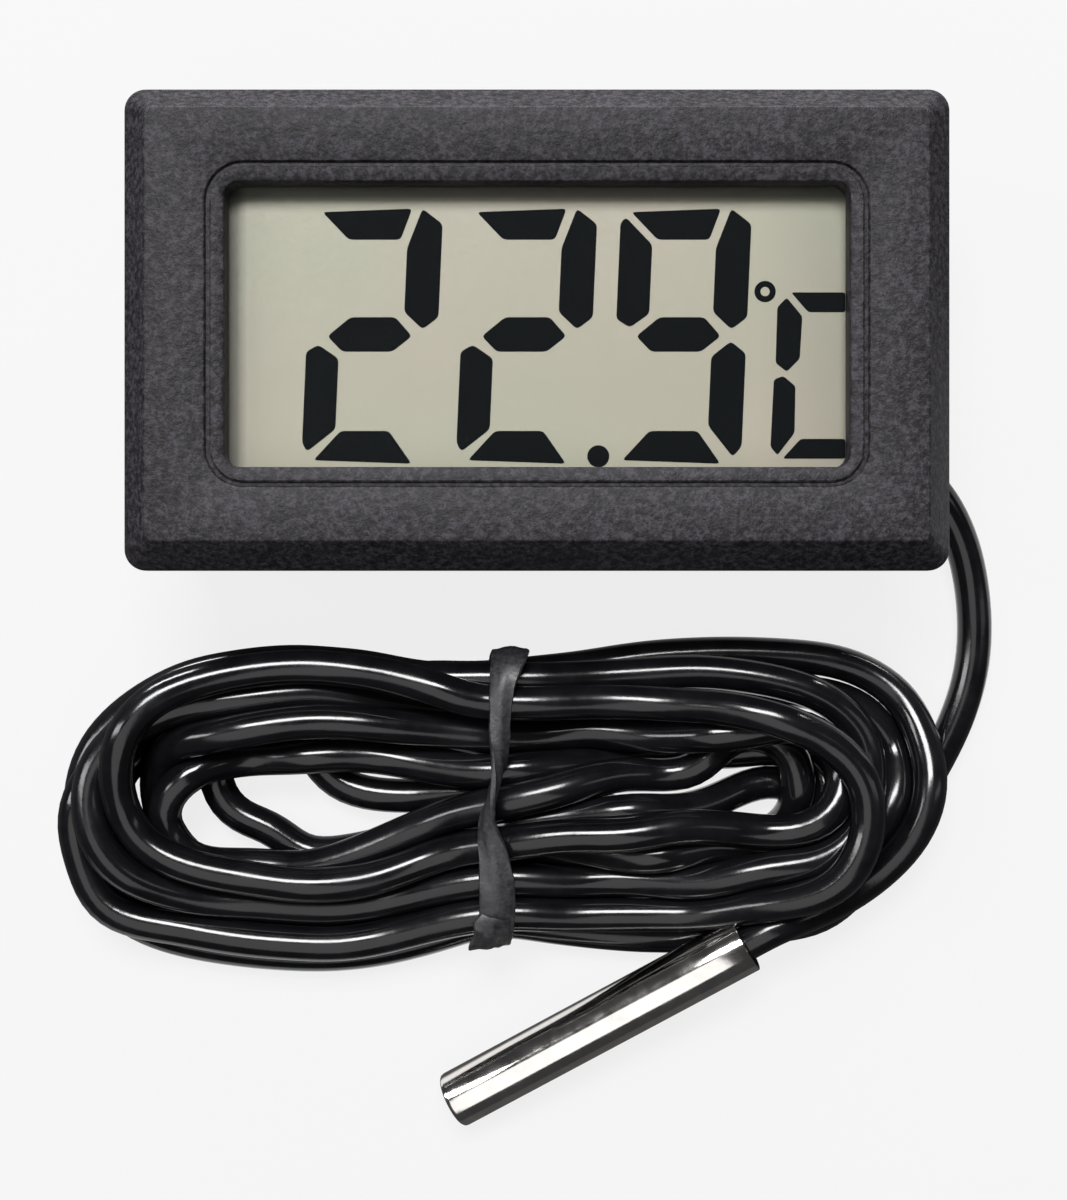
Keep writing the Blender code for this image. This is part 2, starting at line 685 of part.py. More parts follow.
def make_cable_outside(jacket, tie_plastic):
    """The free cable: a lead to the hank, the tied hank, and a lead from it to the probe."""
    lead_in = [cord_point(-1.3 * MM), cord_point(0.5 * MM)]
    lead_in += [Vector(point) * MM for point in LEAD_IN_ROUTE]
    tube("cord_lead_in", spaced(lead_in, CORD_STEP), CORD_RADIUS, jacket)

    axis = probe_axis()
    lead_out = [Vector(point) * MM for point in LEAD_OUT_ROUTE]
    lead_out += [PROBE_MOUTH - 2.2 * MM * axis]
    lead_out += [PROBE_MOUTH + along * MM * axis for along in (0.0, 3.0, 7.0)]
    tube("cord_lead_out", spaced(lead_out, CORD_STEP), CORD_RADIUS, jacket)

    outline = [Vector(point) * MM for point in HANK_OUTLINE]
    hank = finish("cord_hank", extruded(outline, 0.0, HANK_HEIGHT), jacket, smooth=False)
    groove_span = (TIE_SPAN[0] - CORD_GAP, TIE_SPAN[1] + CORD_GAP)
    combine(hank, "DIFFERENCE", "tie_groove", band_round_hank(-TIE_PLAY, HANK_HEIGHT / 2, groove_span))
    finish("cord_tie", band_round_hank(0.0, TIE_THICKNESS, TIE_SPAN), tie_plastic)


def band_round_hank(grow, thickness, span):
    """A closed band across the hank, whose inside is the tie's grown by this much all round."""
    inner, outer = (
        rounded_ring(grown(TIE_INSIDE, by), TIE_CORNER + by, 0.0, TIE_CENTRE)
        for by in (grow, grow + thickness)
    )
    corners = ((outer, span[0]), (outer, span[1]), (inner, span[1]), (inner, span[0]))
    rings = [[Vector((x, point.x, point.y)) for point in ring] for ring, x in corners]
    return lofted(rings, closed=True)


def make_probe(steel, epoxy, bead_glass, leg_metal):
    """The probe's pieces stand along their own Z, from the mouth to the closed tip."""
    length = (PROBE_TIP - PROBE_MOUTH).length / MM
    turn = probe_axis().to_track_quat("Z", "Y").to_matrix().to_4x4()
    place = Matrix.Translation(PROBE_MOUTH) @ turn
    outer = PROBE_RADIUS / MM
    inner = outer - PROBE_WALL / MM
    sheath = (
        (inner, length - 0.4), (inner, 0.0), (outer - 0.12, 0.0), (outer, 0.12),
        (outer, length - 0.35), (outer - 0.1, length - 0.12), (outer - 0.35, length),
    )
    finish("probe_sheath", turned(sheath, steps=40), steel, place)
    cord = CORD_RADIUS / MM
    potting = ((cord + 0.1, 0.3), (inner - 0.05, 0.3), (inner - 0.05, 6.5), (cord + 0.1, 6.5))
    finish("probe_potting", turned(potting, closed=True), epoxy, place)
    bead = ((0.3, 15.6), (0.8, 15.9), (1.05, 16.8), (1.05, 17.6), (0.8, 18.5), (0.3, 18.8))
    finish("thermistor_bead", turned(bead, steps=20), bead_glass, place)
    for name, x in (("thermistor_leg_a", -0.45 * MM), ("thermistor_leg_b", 0.45 * MM)):
        leg = cylinders([(x, 0.0)], 0.2 * MM, 7.4 * MM, 15.4 * MM, 12)
        finish(name, leg, leg_metal, place)


def main():
    for obj in list(bpy.data.objects):
        bpy.data.objects.remove(obj, do_unlink=True)

    case = material("case_plastic", (0.036, 0.034, 0.04), 0.55)
    jacket = material("cable_jacket", (0.008, 0.008, 0.009), 0.25)
    tie_plastic = material("tie_plastic", (0.02, 0.02, 0.024), 0.5)
    glass = material("display_glass", (0.6, 0.66, 0.62), 0.08)
    film = material("polariser_film", (0.45, 0.46, 0.38), 0.3)
    reflector = material("display_reflector", (0.42, 0.42, 0.34), 0.4)
    rubber = material("connector_rubber", (0.5, 0.48, 0.42), 0.6)
    foam = material("foam", (0.03, 0.03, 0.03), 0.9)
    board_green = material("board_laminate", (0.02, 0.14, 0.05), 0.4)
    epoxy = material("epoxy", (0.01, 0.01, 0.01), 0.35)
    steel = material("steel", (0.62, 0.61, 0.6), 0.2, 1.0)
    probe_steel = material("probe_steel", (0.72, 0.7, 0.68), 0.12, 1.0)
    cap_steel = material("cap_steel", (0.7, 0.68, 0.62), 0.28, 1.0)
    spring_metal = material("contact_metal", (0.75, 0.7, 0.55), 0.25, 1.0)
    solder = material("solder", (0.65, 0.65, 0.67), 0.3, 1.0)
    seal_plastic = material("seal_plastic", (0.25, 0.3, 0.2), 0.5)
    electrode = material("electrode", (0.06, 0.06, 0.06), 0.8)
    ceramic = material("capacitor_ceramic", (0.45, 0.33, 0.2), 0.5)
    resistor_black = material("resistor_black", (0.02, 0.02, 0.02), 0.4)
    red = material("core_red", (0.5, 0.02, 0.02), 0.4)
    black = material("core_black", (0.02, 0.02, 0.02), 0.4)
    glue_clear = material("hot_glue", (0.7, 0.66, 0.55), 0.4)
    bead_glass = material("bead_epoxy", (0.05, 0.04, 0.04), 0.3)

    make_front_housing(case)
    make_rear_cover(case)
    make_battery_lid(case)
    make_tongue("panel_clip_left", -1, case)
    make_tongue("panel_clip_right", 1, case)
    make_display(glass, film, reflector)
    make_display_supports(rubber, foam)
    make_board(board_green, epoxy, steel, ceramic, resistor_black)
    make_board_screws(steel)
    make_cell(1, -CELL_OFFSET, steel, cap_steel, seal_plastic, electrode)
    make_cell(2, CELL_OFFSET, steel, cap_steel, seal_plastic, electrode)
    make_contacts(spring_metal)
    make_cable_inside(jacket, red, black, solder, glue_clear)
    make_cable_outside(jacket, tie_plastic)
    make_probe(probe_steel, epoxy, bead_glass, solder)


main()
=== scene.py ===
"""The looks of the panel thermometer: materials, display, cable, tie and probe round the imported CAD.

Lengths are in metres, in the CAD's frame. MM turns the millimetres of this script into metres.
"""

import json
import math

import bmesh
import bpy
import numpy as np
from mathutils import Matrix, Vector, noise

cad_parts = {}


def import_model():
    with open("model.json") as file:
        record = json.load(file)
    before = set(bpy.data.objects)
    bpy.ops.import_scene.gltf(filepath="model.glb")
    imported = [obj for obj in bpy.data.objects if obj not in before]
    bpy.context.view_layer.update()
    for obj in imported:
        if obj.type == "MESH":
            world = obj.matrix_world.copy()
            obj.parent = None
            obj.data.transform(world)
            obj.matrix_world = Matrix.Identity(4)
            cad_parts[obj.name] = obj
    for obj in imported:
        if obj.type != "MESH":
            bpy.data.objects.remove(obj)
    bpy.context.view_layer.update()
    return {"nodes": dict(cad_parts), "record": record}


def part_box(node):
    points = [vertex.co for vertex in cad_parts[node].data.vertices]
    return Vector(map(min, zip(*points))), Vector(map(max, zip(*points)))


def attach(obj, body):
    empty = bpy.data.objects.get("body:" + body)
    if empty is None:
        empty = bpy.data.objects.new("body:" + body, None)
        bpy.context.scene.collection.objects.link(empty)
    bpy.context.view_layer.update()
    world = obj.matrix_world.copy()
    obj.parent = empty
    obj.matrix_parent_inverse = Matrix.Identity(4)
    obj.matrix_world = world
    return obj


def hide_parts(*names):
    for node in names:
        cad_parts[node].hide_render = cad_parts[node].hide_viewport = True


MM = 0.001

# Cable and its route. The lead-in and lead-out points are points of the CAD's tubes, without the
# few that the curve doesn't need, and LEAD_IN_UNDER takes the lead-in on under the hank.
CORD_RADIUS = 1.1
CORD_EXIT = (22.9, -7.14, 3.4)
CORD_EXIT_ANGLE = math.radians(-25)
LEAD_IN = (
    (24.7, -8.1, 3.1),
    (26.2, -9.8, 2.5),
    (27.4, -12.0, 1.75),
    (28.15, -14.6, 1.2),
    (28.4, -17.5, 1.11),
    (28.2, -20.1, 1.11),
    (27.5, -22.7, 1.11),
    (26.3, -25.4, 1.11),
    (24.8, -28.0, 1.11),
)
LEAD_IN_UNDER = ((22.6, -31.2, 1.11), (18.6, -34.8, 1.11))
LEAD_OUT = (
    (16.2, -19.3, 3.5),
    (21.2, -20.1, 3.45),
    (24.6, -23.7, 3.75),
    (25.05, -26.1, 3.8),
    (24.9, -28.0, 3.8),
    (24.2, -30.1, 3.7),
    (22.8, -32.1, 3.4),
    (20.6, -34.0, 3.2),
    (18.2, -35.3, 3.45),
)
PROBE_MOUTH = (13.25, -37.4, 4.05)
PROBE_TIP = (-5.4, -47.97, 1.8)

# The hank's turns, in winding order. Each is wound clockwise, seen from above: a lower run to
# the left, a bend, an upper run to the right, and a bend. The runs are given by their Y to the
# right of the tie, at it and to the left, and the bends by the X that they reach. The last group
# orders the strands in height as they are laid, before they settle on each other: the lower run,
# the left bend, the upper run at its left and at its right, and the right bend.
TURNS = (
    ((-37.2, -36.6, -38.6), -29.6, (-20.8, -21.2, -20.3), 21.4, (0, 0, 0, 4, 5)),
    ((-33.2, -33.4, -35.2), -28.0, (-21.9, -22.4, -20.9), 23.6, (6, 6, 3, 0, 1)),
    ((-35.6, -34.6, -36.6), -28.4, (-23.6, -26.0, -31.6), 18.2, (1, 3, 1, 0, 1)),
    ((-29.5, -29.8, -32.2), None, (-27.2, -29.2, -30.9), 17.0, (3, 0, 0, 0, 2)),
    ((-26.2, -28.4, -32.4), -23.6, (-25.2, -26.8, -25.4), 18.6, (7, 5, 4, 2, 2)),
    ((-31.6, -31.6, -34.0), -24.8, (-23.0, -24.4, -24.6), 19.4, (3, 3, 5, 7, 7)),
    ((-30.0, -30.6, -33.4), -26.4, (-20.0, -21.5, -22.4), 20.7, (8, 8, 8, 8, 7)),
    ((-35.4, -35.6, -37.7), -28.6, (-21.2, -21.4, -19.7), 24.8, (6, 1, 0, 1, 2)),
)
RUN_X = (9.0, -2.5, -13.0)
# The innermost turn has no plain left bend: it crosses the hank's opening and loops under others.
CROSSING_BEND = (
    (-15.6, -31.1),
    (-17.9, -29.8),
    (-19.5, -27.8),
    (-20.4, -25.4),
    (-19.3, -23.2),
    (-16.9, -23.0),
    (-15.2, -24.9),
)
HEIGHT_STEP = 1.2
BEND_HALF_HEIGHT = 4.4
BEND_DEPTH = (5.0, 8.0)

# Settling: the cable's own stiffness, gravity, contact, the table and the tie's grip. The cable
# is a chain of points, SEGMENT apart, whose two ends are held. Each round lets it fall and mends
# it, and every CONTACT_ROUNDS it is worked out again which strands may touch.
SEGMENT = 1.1
SETTLE_ROUNDS = 420
CONTACT_ROUNDS = 40
HELD_START = 30
HELD_END = 22
SPEED_KEPT = 0.82
FALL = 0.012
TOP_SPEED = 0.3
ROUTE_PULL = 0.01
LEAST_BEND = 3.9
TOUCHING = 2.02 * CORD_RADIUS
NEARBY = 5.2 * CORD_RADIUS
OWN_NEIGHBOURS = 3.2 * CORD_RADIUS
TIE_X = (-3.8, -1.2)
TIE_Y = -28.3
TIE_HALF_WIDTH = 9.2
TIE_HEIGHT = 6.5
TIE_LIFT = 0.55
TIE_EASE = 5
# How far apart the points are through which the settled cable is drawn.
DRAWN_STEP = 0.65
CABLE_ROUNDNESS = 6

# The tie, a flat twisted strip with a wire in its middle, as a route round the hank from its far
# side over the top: X, Y, Z, width, and its turn in degrees. It meets itself after half a turn.
TIE_ROUTE = (
    (-1.75, -18.95, 3.4, 2.1, 0),
    (-1.6, -18.9, 4.9, 2.5, -4),
    (-1.75, -19.4, 6.2, 2.3, -14),
    (-2.15, -20.9, 6.85, 1.55, -10),
    (-2.25, -22.6, 6.85, 1.35, 8),
    (-2.3, -24.6, 6.85, 1.3, 22),
    (-2.3, -26.0, 6.9, 1.2, 58),
    (-2.75, -27.8, 6.95, 1.15, 96),
    (-3.2, -29.4, 6.95, 1.25, 138),
    (-2.75, -30.9, 6.9, 1.75, 172),
    (-2.45, -32.8, 6.9, 2.2, 184),
    (-2.4, -34.8, 6.85, 2.3, 190),
    (-2.55, -36.4, 6.3, 2.2, 184),
    (-2.7, -37.3, 4.9, 2.1, 180),
    (-2.7, -37.4, 3.4, 2.0, 180),
    (-2.6, -37.2, 1.3, 2.0, 180),
    (-2.5, -36.0, 0.36, 2.0, 180),
    (-2.5, -28.3, 0.34, 2.0, 180),
    (-2.3, -20.4, 0.36, 2.0, 180),
    (-2.0, -19.1, 1.3, 2.0, 180),
)
TIE_END = (
    (-2.5, -34.9, 6.95, 1.7, 0),
    (-2.7, -35.9, 6.95, 2.2, 10),
    (-2.95, -36.8, 6.4, 2.5, 16),
    (-3.1, -37.3, 5.7, 2.3, 20),
)
# Half of the strip's section: a share of its width, and its half thickness there.
TIE_SECTION = (
    (-0.5, 0.05),
    (-0.47, 0.15),
    (-0.3, 0.19),
    (-0.14, 0.3),
    (0.0, 0.34),
    (0.14, 0.3),
    (0.3, 0.19),
    (0.47, 0.15),
    (0.5, 0.05),
)
TIE_POINTS = 150
TIE_END_POINTS = 14
TIE_CRUMPLE = 0.07
TIE_END_CRUMPLE = 0.22
# Without a seed, mathutils.noise takes one from the clock and the tie differs between runs.
TIE_SEED = 1

# The probe's tube, which is closed at its tip.
PROBE_RADIUS = 1.8
PROBE_WALL = 0.3
PROBE_SIDES = 64

# Case, which follows the CAD's section with finer corners, rounded edges and a grooved frame.
BEZEL_SIZE = (48.0, 28.0)
BEZEL_CORNER = 1.25
BODY_SIZE = (45.8, 25.8)
BODY_CORNER = 1.0
WALL = 1.3
DEPTH = 15.2
FLANGE_BACK = 12.2
FLANGE_LAND = 12.8
BEVEL_INSET = 1.75
FACE_CORNER = 0.35
FRONT_PLATE_BACK = 13.7
SEAM = 2.0
FRAME_SIZE = (37.8, 18.5)
FRAME_CORNER = 2.2
GROOVE_WIDTH = 0.24
GROOVE_DEPTH = 0.26
WINDOW_SIZE = (35.6, 16.2)
WINDOW_CORNER = 0.8
WINDOW_RIM = 14.7
CORNER_STEPS = 12

# Openings and inner features of the case. A slot and a window are ranges in X, Y and Z on the +
# side, and a post's profile is its radii and heights, down its outside and up its bore.
CLIP_SLOT = ((21.0, 23.5), (-4.3, 4.3), (2.9, 11.8))
HOOK_WINDOW = ((13.8, 18.2), (11.0, 13.5), (4.2, 5.8))
CORD_ARCH_RADIUS = 1.4
CORD_ARCH_REACH = 3.0
POST_PLACE = (20.0, 10.1)
POST_PROFILE = ((1.3, 14.0), (1.3, 9.1), (0.75, 9.1), (0.72, 12.6))
RIB_X = 10.0
RIB_HALF_WIDTH = 0.6
RIB_Y = (10.0, 11.8)
RIB_HEIGHTS = (11.0, 13.9)

# Camera: straight above the object, at the photograph's distance.
CAMERA_PLACE = (-0.2 * MM, -15.7 * MM, 115 * MM)
CAMERA_LENS = 52.7

# Studio, in metres: each lamp's place, what it faces, its sides, its watts, and the direction
# that its second side is turned towards.
UPWARDS = (0.0, 0.0, 1.0)
LAMPS = {
    "key": ((-0.04, 0.24, 0.47), (0.0, -0.02, 0.0), (0.26, 0.15), 4.2, UPWARDS),
    "left": ((-0.42, 0.08, 0.36), (0.0, -0.02, 0.0), (0.1, 0.3), 1.1, UPWARDS),
    "right": ((0.42, 0.02, 0.36), (0.0, -0.02, 0.0), (0.1, 0.3), 0.12, UPWARDS),
    "rim": ((0.0, 0.32, 0.04), (0.0, 0.0, 0.01), (0.5, 0.06), 2.8, UPWARDS),
    "near": ((-0.041, -0.14, 0.283), (0.004, -0.043, 0.003), (0.23, 0.34), 0.35, (0.49, -0.87, 0.0)),
}
WORLD_LIGHT = (0.05, 0.05, 0.052, 1.0)
WORLD_SEEN = (0.92, 0.92, 0.92, 1.0)
FLOOR_RADIUS = 1.5
FLOOR_COLOUR = (0.055, 0.055, 0.055, 1.0)
FLOOR_SEEN = 0.82
# In millimetres: how far the floor is below the object, and the distances from the probe's axis
# over which the floor's bright strip beside it rises and falls.
FLOOR_DROP = 0.02
STRIP_RISE = (3.5, 5)
STRIP_FALL = (12, 24)


# ---------------------------------------------------------------- camera

def make_camera():
    """The camera, which looks straight down."""
    data = bpy.data.cameras.new("camera")
    data.lens = CAMERA_LENS
    data.clip_start = 1 * MM
    camera = bpy.data.objects.new("camera", data)
    camera.location = CAMERA_PLACE
    bpy.context.scene.collection.objects.link(camera)
    bpy.context.scene.camera = camera


# ---------------------------------------------------------------- cable

def bend_points(x, towards, first_y, last_y, height):
    """Three points round a bend that reaches this X, from a run at first_y to one at last_y."""
    half = (last_y - first_y) / 2
    depth = min(max(abs(half) * 1.15, BEND_DEPTH[0]), BEND_DEPTH[1])
    half = math.copysign(max(abs(half), BEND_HALF_HEIGHT), half)
    middle = (first_y + last_y) / 2
    points = []
    for degrees in (-40, 0, 40):
        angle = math.radians(degrees)
        back = depth * (1 - math.cos(angle))
        points.append((x - towards * back, middle + half * math.sin(angle), height))
    return points


def cable_route():
    """The whole cable's given line, from the case to the probe, in millimetres."""
    out = Vector((math.cos(CORD_EXIT_ANGLE), math.sin(CORD_EXIT_ANGLE), 0.0))
    start = Vector(CORD_EXIT)
    points = [start - 1.3 * out, start + 0.5 * out, *LEAD_IN, *LEAD_IN_UNDER]
    for number, (lower, left, upper, right, levels) in enumerate(TURNS):
        low, at_left, up_left, up_right, at_right = (CORD_RADIUS + HEIGHT_STEP * h for h in levels)
        points += [(x, y, low) for x, y in zip(RUN_X, lower)]
        if left is None:
            points += [(x, y, at_left) for x, y in CROSSING_BEND]
        else:
            points += bend_points(left, -1, lower[2], upper[0], at_left)
        heights = (up_left, (up_left + up_right) / 2, up_right)
        points += [(x, y, z) for x, y, z in zip(reversed(RUN_X), upper, heights)]
        if number < len(TURNS) - 1:
            points += bend_points(right, 1, upper[2], TURNS[number + 1][0][0], at_right)
    mouth, tip = Vector(PROBE_MOUTH), Vector(PROBE_TIP)
    axis = (tip - mouth).normalized()
    points += [*LEAD_OUT, *(mouth + along * axis for along in (-2.2, 0.0, 3.0, 6.5))]
    return np.array([tuple(point) for point in points])


def smooth_line(points, spacing):
    """Evenly spaced points along the centripetal Catmull-Rom curve through these."""
    held = np.vstack([2 * points[0] - points[1], points, 2 * points[-1] - points[-2]])
    fine = []
    for i in range(1, len(held) - 2):
        four = held[i - 1 : i + 3]
        gaps = np.maximum(np.linalg.norm(np.diff(four, axis=0), axis=1) ** 0.5, 1e-6)
        knots = np.concatenate([[0.0], np.cumsum(gaps)])
        for t in np.linspace(knots[1], knots[2], 16, endpoint=False):
            level = four
            for step in (1, 2):
                share = ((t - knots[:-step]) / (knots[step:] - knots[:-step]))[:, None]
                level = level[:-1] * (1 - share) + level[1:] * share
            share = (t - knots[1]) / (knots[2] - knots[1])
            fine.append(level[0] * (1 - share) + level[1] * share)
    fine.append(points[-1])
    return evenly(np.array(fine), spacing)


def evenly(line, spacing):
    """Points at equal distances along this line, about this far apart."""
    lengths = np.linalg.norm(np.diff(line, axis=0), axis=1)
    reached = np.concatenate([[0.0], np.cumsum(lengths)])
    wanted = np.linspace(0.0, reached[-1], round(reached[-1] / spacing) + 1)
    return np.stack([np.interp(wanted, reached, line[:, k]) for k in range(3)], axis=1)


def settle(start):
    """Lays the cable down: it falls, bends no tighter than it can, and rests on itself."""
    line = start.copy()
    count = len(line)
    step = np.linalg.norm(np.diff(line, axis=0), axis=1)
    mean = step.mean()
    reached = np.arange(count) * mean
    free = (reached > HELD_START) & (reached < reached[-1] - HELD_END)
    speed = np.zeros_like(line)
    first, second = np.triu_indices(count, math.ceil(OWN_NEIGHBOURS / mean))
    for turn in range(SETTLE_ROUNDS):
        if turn % CONTACT_ROUNDS == 0:
            close = ((line[first] - line[second]) ** 2).sum(axis=1) < NEARBY**2
            a, b = first[close], second[close]
        speed *= SPEED_KEPT
        speed[:, 2] -= FALL
        line[free] += speed[free]
        before = line.copy()
        for _ in range(4):
            straighten(line, free, 1, 0.0, 0.25)
            straighten(line, free, 2, (mean * 2) ** 2 / 2 / LEAST_BEND, 0.3)
            straighten(line, free, 4, (mean * 4) ** 2 / 2 / LEAST_BEND, 0.12)
            for _ in range(3):
                keep_lengths(line, free, step)
            part(line, free, a, b)
            grip(line, free)
            line[free, :2] += (start[free, :2] - line[free, :2]) * ROUTE_PULL
        speed = np.where(free[:, None], (line - before) * 0.5 + speed * 0.5, 0.0)
        speed = np.clip(speed, -TOP_SPEED, TOP_SPEED)
    return line


def straighten(line, free, reach, slack, share):
    """Pulls each point towards the middle of two others, where it's further away than the slack."""
    off = (line[: -2 * reach] + line[2 * reach :]) / 2 - line[reach:-reach]
    far = np.linalg.norm(off, axis=1, keepdims=True)
    pull = off * np.clip(1 - slack / np.maximum(far, 1e-9), 0, 1) * share
    moved = np.zeros_like(line)
    moved[reach:-reach] += pull / 2
    moved[: -2 * reach] -= pull / 4
    moved[2 * reach :] -= pull / 4
    line += np.where(free[:, None], moved, 0.0)


def keep_lengths(line, free, step):
    """Moves neighbouring points back to the distances that they started with."""
    for odd in (0, 1):
        a = np.arange(odd, len(line) - 1, 2)
        apart = line[a + 1] - line[a]
        far = np.linalg.norm(apart, axis=1, keepdims=True)
        mend = apart * (1 - step[a, None] / np.maximum(far, 1e-9))
        first, second = free[a, None] * 1.0, free[a + 1, None] * 1.0
        both = np.maximum(first + second, 1.0)
        line[a] += mend * first / both
        line[a + 1] -= mend * second / both


def part(line, free, a, b):
    """Pushes apart the points of different strands that are closer than they can be."""
    apart = line[b] - line[a]
    far = np.linalg.norm(apart, axis=1)
    hit = far < TOUCHING
    a, b, apart, far = a[hit], b[hit], apart[hit], far[hit]
    push = apart / np.maximum(far, 1e-6)[:, None] * ((TOUCHING - far) * 0.3)[:, None]
    moved, met = np.zeros_like(line), np.zeros(len(line))
    np.add.at(moved, a, -push)
    np.add.at(moved, b, push)
    np.add.at(met, a, 1)
    np.add.at(met, b, 1)
    moved /= np.sqrt(np.maximum(met, 1))[:, None]
    line += np.where(free[:, None], moved, 0.0)


def grip(line, free):
    """The table holds the cable up, and the tie holds it together."""
    middle, half = sum(TIE_X) / 2, (TIE_X[1] - TIE_X[0]) / 2
    held = np.clip(1 - (np.abs(line[:, 0] - middle) - half) / TIE_EASE, 0, 1)
    ease = held * held * (3 - 2 * held)
    floor = CORD_RADIUS + np.where(free, TIE_LIFT * ease, 0.0)
    line[:, 2] = np.maximum(line[:, 2], floor)
    inside = free & (held > 0)
    ceiling = TIE_HEIGHT - CORD_RADIUS + (1 - held) * 3
    line[inside, 2] = np.minimum(line[inside, 2], ceiling[inside])
    reach = TIE_HALF_WIDTH - CORD_RADIUS + (1 - held) * 2
    wanted = np.clip(line[:, 1], TIE_Y - reach, TIE_Y + reach)
    line[inside, 1] += (wanted - line[:, 1])[inside] * 0.5


def make_cable(line, surface):
    """The whole cable, drawn along its settled line, in place of the CAD's cord pieces, which it hides.
    """
    curve = bpy.data.curves.new("cable", "CURVE")
    curve.dimensions = "3D"
    curve.bevel_depth = CORD_RADIUS * MM
    curve.bevel_resolution = CABLE_ROUNDNESS
    curve.use_fill_caps = True
    spline = curve.splines.new("POLY")
    eased = line.copy()
    eased[1:-1] = line[:-2] / 4 + line[1:-1] / 2 + line[2:] / 4
    points = smooth_line(eased, DRAWN_STEP)
    spline.points.add(len(points) - 1)
    for slot, point in zip(spline.points, points):
        slot.co = (*(point * MM), 1.0)
    curve.materials.append(surface)
    cable = bpy.data.objects.new("cable", curve)
    bpy.context.scene.collection.objects.link(cable)
    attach(cable, "meter")
    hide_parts("cord_lead_in", "cord_hank", "cord_lead_out")
    return cable


# ---------------------------------------------------------------- tie and probe

def strip_rings(route, count, closed, crumple):
    """Sections of the tie's strip, evenly spaced along its route, in metres."""
    rows = np.array(route)
    if closed:
        rows = np.vstack([rows, rows[0]])
        rows[-1, 4] += 180
    lengths = np.linalg.norm(np.diff(rows[:, :3], axis=0), axis=1)
    reached = np.concatenate([[0.0], np.cumsum(lengths)])
    wanted = np.linspace(0.0, reached[-1], count, endpoint=not closed)
    fine = np.stack([np.interp(wanted, reached, rows[:, k]) for k in range(5)], axis=1)
    for _ in range(10):
        before, after = np.roll(fine, 1, axis=0), np.roll(fine, -1, axis=0)
        before[0, 4] -= 180
        after[-1, 4] += 180
        if not closed:
            before[0], after[-1] = fine[0], fine[-1]
        fine = fine * 0.5 + (before + after) * 0.25
    ahead, behind = np.roll(fine[:, :3], -1, axis=0), np.roll(fine[:, :3], 1, axis=0)
    if not closed:
        ahead[-1], behind[0] = fine[-1, :3], fine[0, :3]
    rings = []
    for (x, y, z, width, turn), along in zip(fine, ahead - behind):
        along = Vector(along).normalized()
        across = Vector((1.0, 0.0, 0.0))
        across = (across - across.dot(along) * along).normalized()
        outwards = across.cross(along)
        angle = math.radians(turn)
        side = across * math.cos(angle) + outwards * math.sin(angle)
        up = along.cross(side)
        ring = []
        for flip in (1, -1):
            for a, b in TIE_SECTION:
                point = Vector((x, y, z)) + side * (flip * a * width) + up * (flip * b)
                ring.append((point + noise.noise_vector(point * 1.7) * crumple) * MM)
        rings.append(ring)
    return rings


def make_tie(surface):
    """The twisted tie round the hank, and its ragged end folded down over the hank's side."""
    noise.seed_set(TIE_SEED)
    bm = bmesh.new()
    rings = strip_rings(TIE_ROUTE, TIE_POINTS, True, TIE_CRUMPLE)
    half = len(TIE_SECTION)
    rings.append(rings[0][half:] + rings[0][:half])
    add_loft(bm, rings, caps=False)
    add_loft(bm, strip_rings(TIE_END, TIE_END_POINTS, False, TIE_END_CRUMPLE))
    bmesh.ops.remove_doubles(bm, verts=bm.verts, dist=0.001 * MM)
    tie = put("hank_tie", bm, surface, smooth=50)
    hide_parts("cord_tie")
    return tie


def make_probe(surface):
    """The probe's closed tube, with a rounded mouth and a shallow round dimple in its flat tip."""
    mouth, tip = Vector(PROBE_MOUTH), Vector(PROBE_TIP)
    length = (tip - mouth).length
    inner = PROBE_RADIUS - PROBE_WALL
    profile = [(0.0, length - 0.45), (inner, length - 0.45), (inner, 0.08), (inner + 0.08, 0.0)]
    profile += [(PROBE_RADIUS - 0.1, 0.0), (PROBE_RADIUS - 0.03, 0.03), (PROBE_RADIUS, 0.1)]
    profile += [(PROBE_RADIUS, along) for along in (4.0, 8.0, 12.0, 16.0)]
    profile += [(PROBE_RADIUS, length - 0.3), (PROBE_RADIUS - 0.04, length - 0.12)]
    profile += [(PROBE_RADIUS - 0.14, length - 0.03), (PROBE_RADIUS - 0.28, length)]
    profile += [(0.75, length), (0.6, length - 0.12), (0.0, length - 0.14)]
    bm = bmesh.new()
    angles = [2 * math.pi * step / PROBE_SIDES for step in range(PROBE_SIDES)]
    rings = []
    for radius, along in profile:
        radius = max(radius, 0.001)
        rings.append([Vector((radius * math.cos(a), radius * math.sin(a), along)) * MM for a in angles])
    add_loft(bm, rings)
    turn = (tip - mouth).to_track_quat("Z", "Y").to_matrix().to_4x4()
    bm.transform(Matrix.Translation(mouth * MM) @ turn)
    probe = put("probe_tube", bm, surface)
    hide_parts("probe_sheath")
    return probe


# ---------------------------------------------------------------- materials

